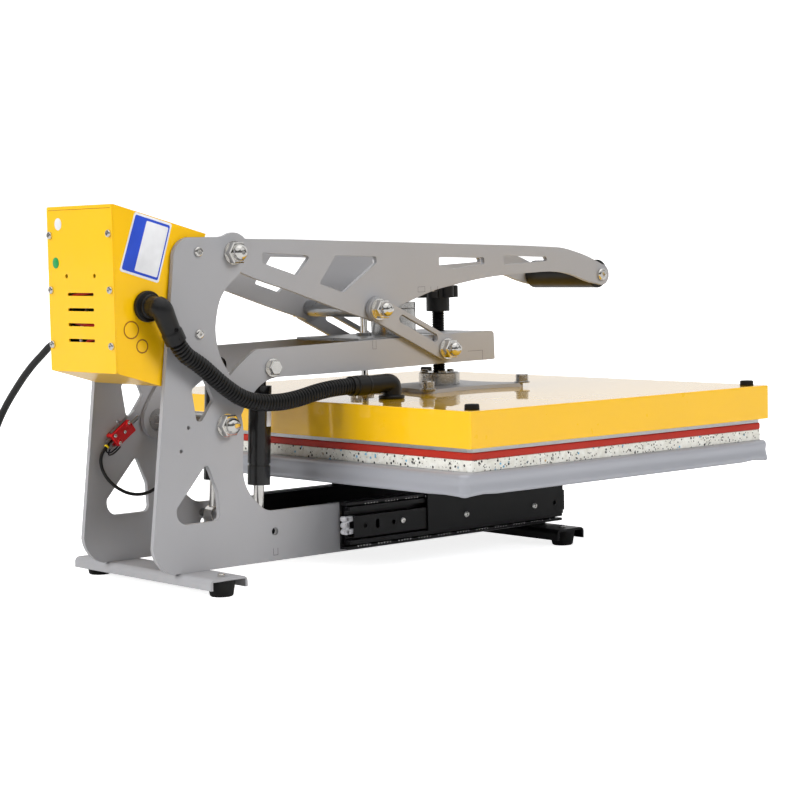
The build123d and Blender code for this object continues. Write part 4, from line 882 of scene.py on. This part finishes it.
# ---------------------------------------------------------------------------
# Small pieces
# ---------------------------------------------------------------------------
def caps():
    bm = bmesh.new()
    for x in (-241.0, 241.0):
        for y in (-132.0, -510.0):
            lathe(bm, [(0, -0.3), (6.6, -0.3), (6.8, 0.3), (6.6, 4.2), (6.0, 5.0), (2.4, 5.0), (2.0, 4.4), (0, 4.4)],
                  P(x, y, 161.0), (0, 0, 1), 32)
    obj("corner_caps", bm, "rubber", "platen")


caps()


def rounded_plate(bm, corners, normal, thick, radius, steps=5, lift=0.0):
    """A thin plate with rounded corners from four corner points in metres."""
    n = Vector(normal).normalized()
    pts = []
    m = len(corners)
    for i in range(m):
        a, b, c = corners[i - 1], corners[i], corners[(i + 1) % m]
        u, v = (a - b).normalized(), (c - b).normalized()
        half = u.angle(v) / 2
        cut = radius / math.tan(half)
        p, q = b + u * cut, b + v * cut
        o = b + (u + v).normalized() * (radius / math.sin(half))
        for k in range(steps + 1):
            d = (p.lerp(q, k / steps) - o).normalized()
            pts.append(o + d * radius)
    lowr = [bm.verts.new(p + n * lift) for p in pts]
    highr = [bm.verts.new(p + n * (lift + thick * 0.8)) for p in pts]
    mid = sum(pts, Vector()) / len(pts)
    topr = [bm.verts.new(p + (mid - p).normalized() * thick * 0.3 + n * (lift + thick)) for p in pts]
    for a, b in ((lowr, highr), (highr, topr)):
        for i in range(len(pts)):
            j = (i + 1) % len(pts)
            bm.faces.new((a[i], a[j], b[j], b[i]))
    bm.faces.new(topr)
    bm.faces.new(list(reversed(lowr)))
    return bm


def spec_plate():
    """Blank printed plate on the near side of the box: white with a blue band and border."""
    c = [Vector((-0.053, 0, 0))] * 4
    pts = [(93.2, 341.8), (53.8, 330.7), (70.3, 278.4), (111.1, 290.2)]
    outer = [P(-53.0, y, z) for y, z in pts]
    mid = sum(outer, Vector()) / 4
    n = (-1, 0, 0)
    bm = bmesh.new()
    rounded_plate(bm, outer, n, 0.0003, 0.0022)
    obj("plate_edge", bm, "white_plate", "frame", angle=30)
    inner = [mid + (p - mid) * 0.925 for p in outer]
    bm = bmesh.new()
    rounded_plate(bm, inner, n, 0.00006, 0.0018, lift=0.0003)
    obj("plate_border", bm, "blue_plate", "frame", angle=30)
    # white field: the part right of the blue band
    a, b, cc, d = inner          # back-top, front-top, front-low, back-low
    f0, f1 = 0.335, 0.965
    q = [a.lerp(b, f0), a.lerp(b, f1), d.lerp(cc, f1), d.lerp(cc, f0)]
    top, low = 0.045, 0.955
    field = [q[0].lerp(q[3], top), q[1].lerp(q[2], top), q[1].lerp(q[2], low), q[0].lerp(q[3], low)]
    bm = bmesh.new()
    rounded_plate(bm, field, n, 0.00005, 0.0012, lift=0.00036)
    obj("plate_field", bm, "white_plate", "frame", angle=30)


spec_plate()


def back_details():
    n = (0, 1, 0)
    bm = bmesh.new()
    lathe(bm, [(5.5, 0), (5.5, 0.35), (5.1, 0.6), (0, 0.6)], P(34.3, 117.3, 332.8), n, 40)
    obj("round_plug_white", bm, "white_plate", "frame")
    bm = bmesh.new()
    lathe(bm, [(5.0, 0), (5.0, 0.35), (4.6, 0.6), (0, 0.6)], P(39.9, 117.3, 298.0), n, 40)
    obj("round_plug_green", bm, "green_dot", "frame")
    # wires that show behind the slots
    for name, mat, pts in (
            ("wire_live", "wire_red", [(-40, 90, 292), (-26, 104, 276), (-10, 113, 270.4), (22, 113, 269.2), (40, 104, 262),
                                       (40, 104, 250), (22, 113, 243.4), (-20, 113, 242.0), (-42, 100, 238), (-44, 88, 226)]),
            ("wire_load", "wire_red", [(-42, 88, 250), (-24, 106, 238), (-14, 113, 229.2), (2, 113, 227.6), (14, 106, 214)]),
            ("wire_plain", "white_nylon", [(16, 98, 262), (10, 108, 250), (8.6, 113, 236), (8.6, 113, 224), (14, 102, 212)])):
        bm = bmesh.new()
        tube(bm, nurbs_line([P(*q) for q in pts], 0.002), lambda q: 0.0016, 14)
        obj(name, bm, mat, "frame")
    # clip nuts behind the two round holes
    bm = bmesh.new()
    for x in (-22.8, 22.8):
        lathe(bm, [(0, 0), (3.4, 0), (3.4, -0.8), (0, -0.8)], P(x, 115.6, 286.0), n, 24)
    obj("hole_clips", bm, "rubber", "frame")
    # fine seam under the folded top edge: the seam is real, the thin dark orange strip is painted shade under the fold
    bm = bmesh.new()
    block(bm, P(-50.5, 117.25, 345.2), P(50.5, 117.42, 345.6), 0.0)
    obj("panel_seam_shade", bm, "shade_line_orange", "frame", smooth=False)
    # knock-outs punched almost through the near side: the cut lines are real, their dark orange rings and dots are
    # painted shade in the grooves
    bm = bmesh.new()
    for (y, z), r in (((100.3, 238.0), 7.5), ((89.2, 223.2), 5.8)):
        c = P(-53.0, y, z)
        lathe(bm, [(r - 0.62, 0), (r - 0.45, 0.10), (r + 0.45, 0.10), (r + 0.62, 0)], c, (-1, 0, 0), 56)
        for k in (0.0, math.pi):
            e = c + Vector((0, math.cos(0.9 + k) * r, math.sin(0.9 + k) * r)) / 1000.0
            lathe(bm, [(0, 0.14), (0.7, 0.14), (0.8, 0)], e, (-1, 0, 0), 12)
    obj("knock_out_groove_shade", bm, "shade_line_orange", "frame")


back_details()


def tab_gap_shade_strips():
    """Fine gaps round the tabs that pass through the plates: the gaps are real, the thin dark grey strips laid on the
    plate faces are painted shade in them.
    """
    def strokes(bm, x, pts, w=0.28):
        out = -1 if x < 0 else 1
        for (y0, z0), (y1, z1) in zip(pts, pts[1:]):
            lo = P(x, min(y0, y1) - w / 2, min(z0, z1) - w / 2)
            hi = P(x, max(y0, y1) + w / 2, max(z0, z1) + w / 2)
            lo.x, hi.x = sorted((x / 1000.0, x / 1000.0 + out * 0.00006))
            block(bm, lo, hi, 0.0)
    for x in (-53.0, 53.0):
        bm = bmesh.new()
        strokes(bm, x, [(-178.0, 217.0), (-178.0, 208.6), (-182.4, 208.6), (-182.4, 217.0)])
        strokes(bm, x, [(-303.4, 200.8), (-323.7, 200.8), (-323.7, 191.5)])
        obj("arm_tab_gap_shade_" + ("left" if x < 0 else "right"), bm, "gap_shade_grey", "arm", smooth=False)
        bm = bmesh.new()
        strokes(bm, x, [(-238.0, 267.0), (-238.0, 262.0), (-247.0, 262.0), (-247.0, 267.0), (-238.0, 267.0)])
        strokes(bm, x, [(-255.0, 267.0), (-255.0, 262.0), (-264.0, 262.0), (-264.0, 267.0)])
        obj("lever_tab_gap_shade_" + ("left" if x < 0 else "right"), bm, "gap_shade_grey", "lever", smooth=False)
    for x in (-59.0, 59.0):
        bm = bmesh.new()
        strokes(bm, x, [(-46.6, 29.0), (-46.6, 22.8), (-51.8, 22.8), (-51.8, 29.0)], 0.4)
        obj("frame_tab_gap_shade_" + ("left" if x < 0 else "right"), bm, "gap_shade_grey", "frame", smooth=False)


tab_gap_shade_strips()


def slide_details():
    for side in (-1, 1):
        tag = "left" if side < 0 else "right"
        # nylon bumper at the rear of the middle member: a C with three lobes on its rear face
        bm = bmesh.new()
        x0, x1 = sorted((side * 63.0, side * 70.0))
        for ya, yb, za, zb in ((-136.0, -126.4, 34.5, 39.6), (-136.0, -126.4, 46.6, 51.7), (-130.2, -126.4, 39.0, 47.2)):
            block(bm, (x0 / 1000, (ya + Y0) / 1000, za / 1000), (x1 / 1000, (yb + Y0) / 1000, zb / 1000), 0.8)
        for z in (36.9, 43.1, 49.3):
            lathe(bm, [(0, 0), (2.5, 0), (2.7, 0.4), (2.7, abs(x1 - x0) - 0.4), (2.4, abs(x1 - x0)), (0, abs(x1 - x0))],
                  P(x0, -126.6, z), (1, 0, 0), 24)
        obj("slide_bumper_" + tag, bm, "white_nylon", "slide_middles")
        # ball rows between the members, in the gaps over and under the middle member
        bm = bmesh.new()
        for z, first, last in ((22.5, -140.0, -402.0), (62.5, -150.0, -404.0)):
            y, k = first, 0
            while y > last:
                if k % 7 not in (5, 6):
                    lathe(bm, [(0, -1.0), (0.71, -0.71), (1.0, 0), (0.71, 0.71), (0, 1.0)],
                          P(side * 69.9, y, z), (0, 0, 1), 10)
                y -= 3.7
                k += 1
        obj("slide_balls_" + tag, bm, "chrome", "slide_middles")
        # screws of the bracket and of the inner member
        bm = bmesh.new()
        n = (side, 0, 0)
        for y, z in ((-277.5, 40.1), (-372.7, 39.4)):
            lathe(bm, [(3.3, 0), (3.2, 1.2), (2.5, 2.0), (1.2, 2.2), (1.0, 1.2), (0, 1.2)], P(side * 74.0, y, z), n, 28)
        lathe(bm, [(3.0, 0), (2.9, 0.8), (2.3, 1.3), (1.1, 1.4), (0.9, 0.6), (0, 0.6)], P(side * 72.0, -195.6, 41.9), n, 28)
        obj("drawer_screws_" + tag, bm, "chrome", "drawer")


slide_details()


def spring_labels():
    """Small blank white labels wrapped on the gas springs."""
    e, f = Vector((0, -55.0 + Y0, 197.0)), Vector((0, -48.0 + Y0, 54.0))
    d = (e - f).normalized()
    for side in (-1, 1):
        bm = bmesh.new()
        rows, cols = 2, 10
        r = 10.78
        x, y = Vector((1, 0, 0)), d.cross(Vector((1, 0, 0)))
        grid = []
        for i in range(rows):
            s = 88.0 + 16.0 * i
            c = f + d * s + Vector((side * 35.0, 0, 0))
            ring = []
            for k in range(cols):
                t = math.radians(118 + 62 * k / (cols - 1))
                ring.append(bm.verts.new((c + x * (r * math.cos(t)) + y * (-r * math.sin(t))) / 1000.0))
            grid.append(ring)
        for k in range(cols - 1):
            bm.faces.new((grid[0][k], grid[0][k + 1], grid[1][k + 1], grid[1][k]))
        obj("spring_label_" + ("left" if side < 0 else "right"), bm, "white_plate", "spring_cylinders")


spring_labels()


def switch_details():
    a = math.radians(-35.6)
    u = Vector((0, math.cos(a), math.sin(a)))
    n = Vector((0, -math.sin(a), math.cos(a)))
    c = P(49.0, 46.5, 138.3)
    rot = Matrix(((1, 0, 0), (0, u.y, n.y), (0, u.z, n.z))).to_4x4()
    rot.translation = c
    bm = bmesh.new()
    # terminals at the lower end and a bent spring strip over the plunger side
    for k in (-4.0, 0.0, 4.0):
        block(bm, (-0.0016, 0.012, (k - 1.3) / 1000), (0.0016, 0.0165, (k - 0.9) / 1000), 0.1, rot)
    block(bm, (-0.0022, -0.0245, 0.0071), (0.0022, 0.0095, 0.0076), 0.15, rot)
    block(bm, (-0.0022, 0.0088, 0.0060), (0.0022, 0.0095, 0.0076), 0.15, rot)
    for k in (-4.4, 0.0, 4.4):
        block(bm, (-0.0016, 0.0118, (k - 0.5) / 1000), (0.0016, 0.0188, (k + 0.1) / 1000), 0.1, rot)
    obj("switch_strip", bm, "zinc", "frame")
    bm = bmesh.new()
    for du, dn in ((-9.6, 4.6), (9.2, -4.2), (-1.0, 0.6), (9.4, 4.4)):
        at = c + u * (du / 1000) + n * (dn / 1000) + Vector((-0.0058, 0, 0))
        lathe(bm, [(0, -0.2), (1.7, -0.2), (1.7, 0.7), (1.3, 1.2), (0.6, 1.3), (0.5, 0.7), (0, 0.7)], at, (-1, 0, 0), 20)
    obj("switch_screws", bm, "chrome", "frame")
    # the lead's two cores, looped to the terminals
    bm = bmesh.new()
    for dn, bow in ((-4.4, 0.0075), (0.0, 0.0052)):
        pts = [c + u * 0.0185 + n * (dn / 1000), c + u * 0.0225 + n * (dn / 1000 - bow * 0.2),
               c + u * 0.0235 - n * (bow + 0.001), c + u * 0.0165 - n * (bow + 0.0035), c + u * 0.0085 - n * (bow + 0.0025)]
        tube(bm, nurbs_line(pts, 0.0006), lambda q: 0.0007, 10)
    obj("switch_cores", bm, "cord", "frame")
    bm = bmesh.new()
    block(bm, (-0.0020, 0.0192, -0.0018), (0.0020, 0.0212, 0.0018), 0.5, rot)
    obj("switch_sleeve", bm, "yellow_mark", "frame")


switch_details()


def panel_details():
    """Display lens and plain symbols on the control panel."""
    top = math.atan2(348.6 - 321.6, 115.8 - 17.1)
    u = Vector((0, math.cos(top), math.sin(top)))
    n = Vector((0, -math.sin(top), math.cos(top)))
    o = P(0, 17.1, 321.6)

    def at(x, s, lift):
        return o + Vector((x / 1000, 0, 0)) + u * (s / 1000) + n * (lift / 1000)
    bm = bmesh.new()
    rounded_plate(bm, [at(-22.9, 53.6, 0), at(22.9, 53.6, 0), at(22.9, 70.4, 0), at(-22.9, 70.4, 0)], n, 0.0004,
                  0.001, lift=0.0016)
    obj("display_lens", bm, "lens", "frame", angle=30)
    # plain seven-segment figures, unlit
    bm = bmesh.new()
    for x in (-14.0, -4.6, 4.8, 14.2):
        for (x0, s0, x1, s1) in ((-2.6, 5.2, 2.6, 5.9), (-2.6, -0.35, 2.6, 0.35), (-2.6, -5.9, 2.6, -5.2),
                                 (-3.2, 0.6, -2.5, 5.0), (2.5, 0.6, 3.2, 5.0), (-3.2, -5.0, -2.5, -0.6), (2.5, -5.0, 3.2, -0.6)):
            q = [at(x + x0, 62 + s0, 2.02), at(x + x1, 62 + s0, 2.02), at(x + x1, 62 + s1, 2.02), at(x + x0, 62 + s1, 2.02)]
            vs = [bm.verts.new(p) for p in q]
            ws = [bm.verts.new(p + n * 0.00003) for p in q]
            bm.faces.new(ws)
            for i in range(4):
                j = (i + 1) % 4
                bm.faces.new((vs[i], vs[j], ws[j], ws[i]))
    obj("display_segments", bm, "switch_red", "frame", smooth=False)


panel_details()


# ---------------------------------------------------------------------------
# Floor and light
# ---------------------------------------------------------------------------
def studio():
    mesh = bpy.data.meshes.new("studio_floor")
    s = 40.0
    mesh.from_pydata([(-s, -s, 0), (s, -s, 0), (s, s, 0), (-s, s, 0)], [], [(0, 1, 2, 3)])
    floor = bpy.data.objects.new("studio_floor", mesh)
    bpy.context.scene.collection.objects.link(floor)
    m = bpy.data.materials.new("pale_floor")
    m.use_nodes = True
    ft = m.node_tree
    b = ft.nodes["Principled BSDF"]
    b.inputs["Base Color"].default_value = (0.86, 0.86, 0.86, 1)
    b.inputs["Roughness"].default_value = 0.9
    b.inputs["Specular IOR Level"].default_value = 0.1
    glow = ft.nodes.new("ShaderNodeEmission")
    glow.inputs["Strength"].default_value = 0.78
    seen = ft.nodes.new("ShaderNodeLightPath")
    gain = ft.nodes.new("ShaderNodeMath")
    gain.operation = "MULTIPLY"
    gain.inputs[1].default_value = 0.92
    ft.links.new(seen.outputs["Is Camera Ray"], gain.inputs[0])
    ft.links.new(gain.outputs[0], glow.inputs["Strength"])
    both = ft.nodes.new("ShaderNodeAddShader")
    ft.links.new(b.outputs[0], both.inputs[0])
    ft.links.new(glow.outputs[0], both.inputs[1])
    ft.links.new(both.outputs[0], ft.nodes["Material Output"].inputs["Surface"])
    mesh.materials.append(m)

    world = bpy.data.worlds.new("studio_world")
    bpy.context.scene.world = world
    world.use_nodes = True
    nt = world.node_tree
    nt.nodes.clear()
    out = nt.nodes.new("ShaderNodeOutputWorld")
    mix = nt.nodes.new("ShaderNodeMixShader")
    plain = nt.nodes.new("ShaderNodeBackground")
    mirror = nt.nodes.new("ShaderNodeBackground")
    path = nt.nodes.new("ShaderNodeLightPath")
    plain.inputs["Color"].default_value = (1, 1, 1, 1)
    plain.inputs["Strength"].default_value = 0.19
    backdrop = nt.nodes.new("ShaderNodeBackground")
    backdrop.inputs["Color"].default_value = (1, 1, 1, 1)
    backdrop.inputs["Strength"].default_value = 1.3
    seen = nt.nodes.new("ShaderNodeMixShader")
    # what gloss and bare metal see: a bright wall and a bright ceiling, dim elsewhere
    tc = nt.nodes.new("ShaderNodeTexCoord")

    def facing(direction, stops):
        dot = nt.nodes.new("ShaderNodeVectorMath")
        dot.operation = "DOT_PRODUCT"
        dot.inputs[1].default_value = Vector(direction).normalized()
        nt.links.new(tc.outputs["Generated"], dot.inputs[0])
        ramp = nt.nodes.new("ShaderNodeValToRGB")
        e = ramp.color_ramp.elements
        e[0].position, e[1].position = stops[0][0], stops[-1][0]
        e[0].color, e[1].color = [(v, v, v, 1) for v in (stops[0][1], stops[-1][1])]
        for at, v in stops[1:-1]:
            e.new(at).color = (v, v, v, 1)
        nt.links.new(dot.outputs["Value"], ramp.inputs["Fac"])
        return ramp.outputs["Color"]
    wall = facing((0.72, -0.69, 0.05), [(0.0, 0.13), (0.18, 0.16), (0.5, 0.93), (1.0, 0.96)])
    ceiling = facing((-0.25, 0.25, 0.93), [(0.0, 0.0), (0.62, 0.0), (0.78, 1.0), (1.0, 1.0)])
    strip = facing((-0.72, -0.45, 0.52), [(0.0, 0.0), (0.90, 0.0), (0.94, 0.9), (1.0, 0.9)])
    last = wall
    for other in (ceiling, strip):
        top = nt.nodes.new("ShaderNodeMix")
        top.data_type = "RGBA"
        top.blend_type = "LIGHTEN"
        top.inputs["Factor"].default_value = 1.0
        nt.links.new(last, top.inputs["A"])
        nt.links.new(other, top.inputs["B"])
        last = top.outputs["Result"]
    nt.links.new(last, mirror.inputs["Color"])
    mirror.inputs["Strength"].default_value = 1.0
    nt.links.new(path.outputs["Is Glossy Ray"], mix.inputs["Fac"])
    nt.links.new(plain.outputs[0], mix.inputs[1])
    nt.links.new(mirror.outputs[0], mix.inputs[2])
    nt.links.new(path.outputs["Is Camera Ray"], seen.inputs["Fac"])
    nt.links.new(mix.outputs[0], seen.inputs[1])
    nt.links.new(backdrop.outputs[0], seen.inputs[2])
    nt.links.new(seen.outputs[0], out.inputs["Surface"])

    def area(name, where, target, size, power, color=(1, 1, 1)):
        d = bpy.data.lights.new(name, "AREA")
        d.shape = "RECTANGLE"
        d.size, d.size_y = size
        d.energy = power
        d.color = color
        o = bpy.data.objects.new(name, d)
        bpy.context.scene.collection.objects.link(o)
        o.location = where
        o.rotation_euler = (Vector(target) - Vector(where)).to_track_quat("-Z", "Y").to_euler()

    def sun(name, towards, energy, angle):
        d = bpy.data.lights.new(name, "SUN")
        d.energy = energy
        d.angle = math.radians(angle)
        o = bpy.data.objects.new(name, d)
        bpy.context.scene.collection.objects.link(o)
        o.visible_glossy = False
        o.rotation_euler = Vector(towards).to_track_quat("-Z", "Y").to_euler()
    sun("key_side", (0.84, 0.22, -0.50), 2.0, 30)
    sun("key_rear", (-0.16, -0.88, -0.44), 2.8, 30)
    sun("fill_front", (-0.55, 0.62, -0.56), 0.7, 40)
    area("top_soft", (-0.3, -0.2, 2.4), (0, 0, 0), (2.0, 2.0), 5)
    view = bpy.context.scene.view_settings
    view.view_transform = "Standard"
    view.look = "None"
    view.exposure = -0.12
    view.gamma = 1.0


studio()
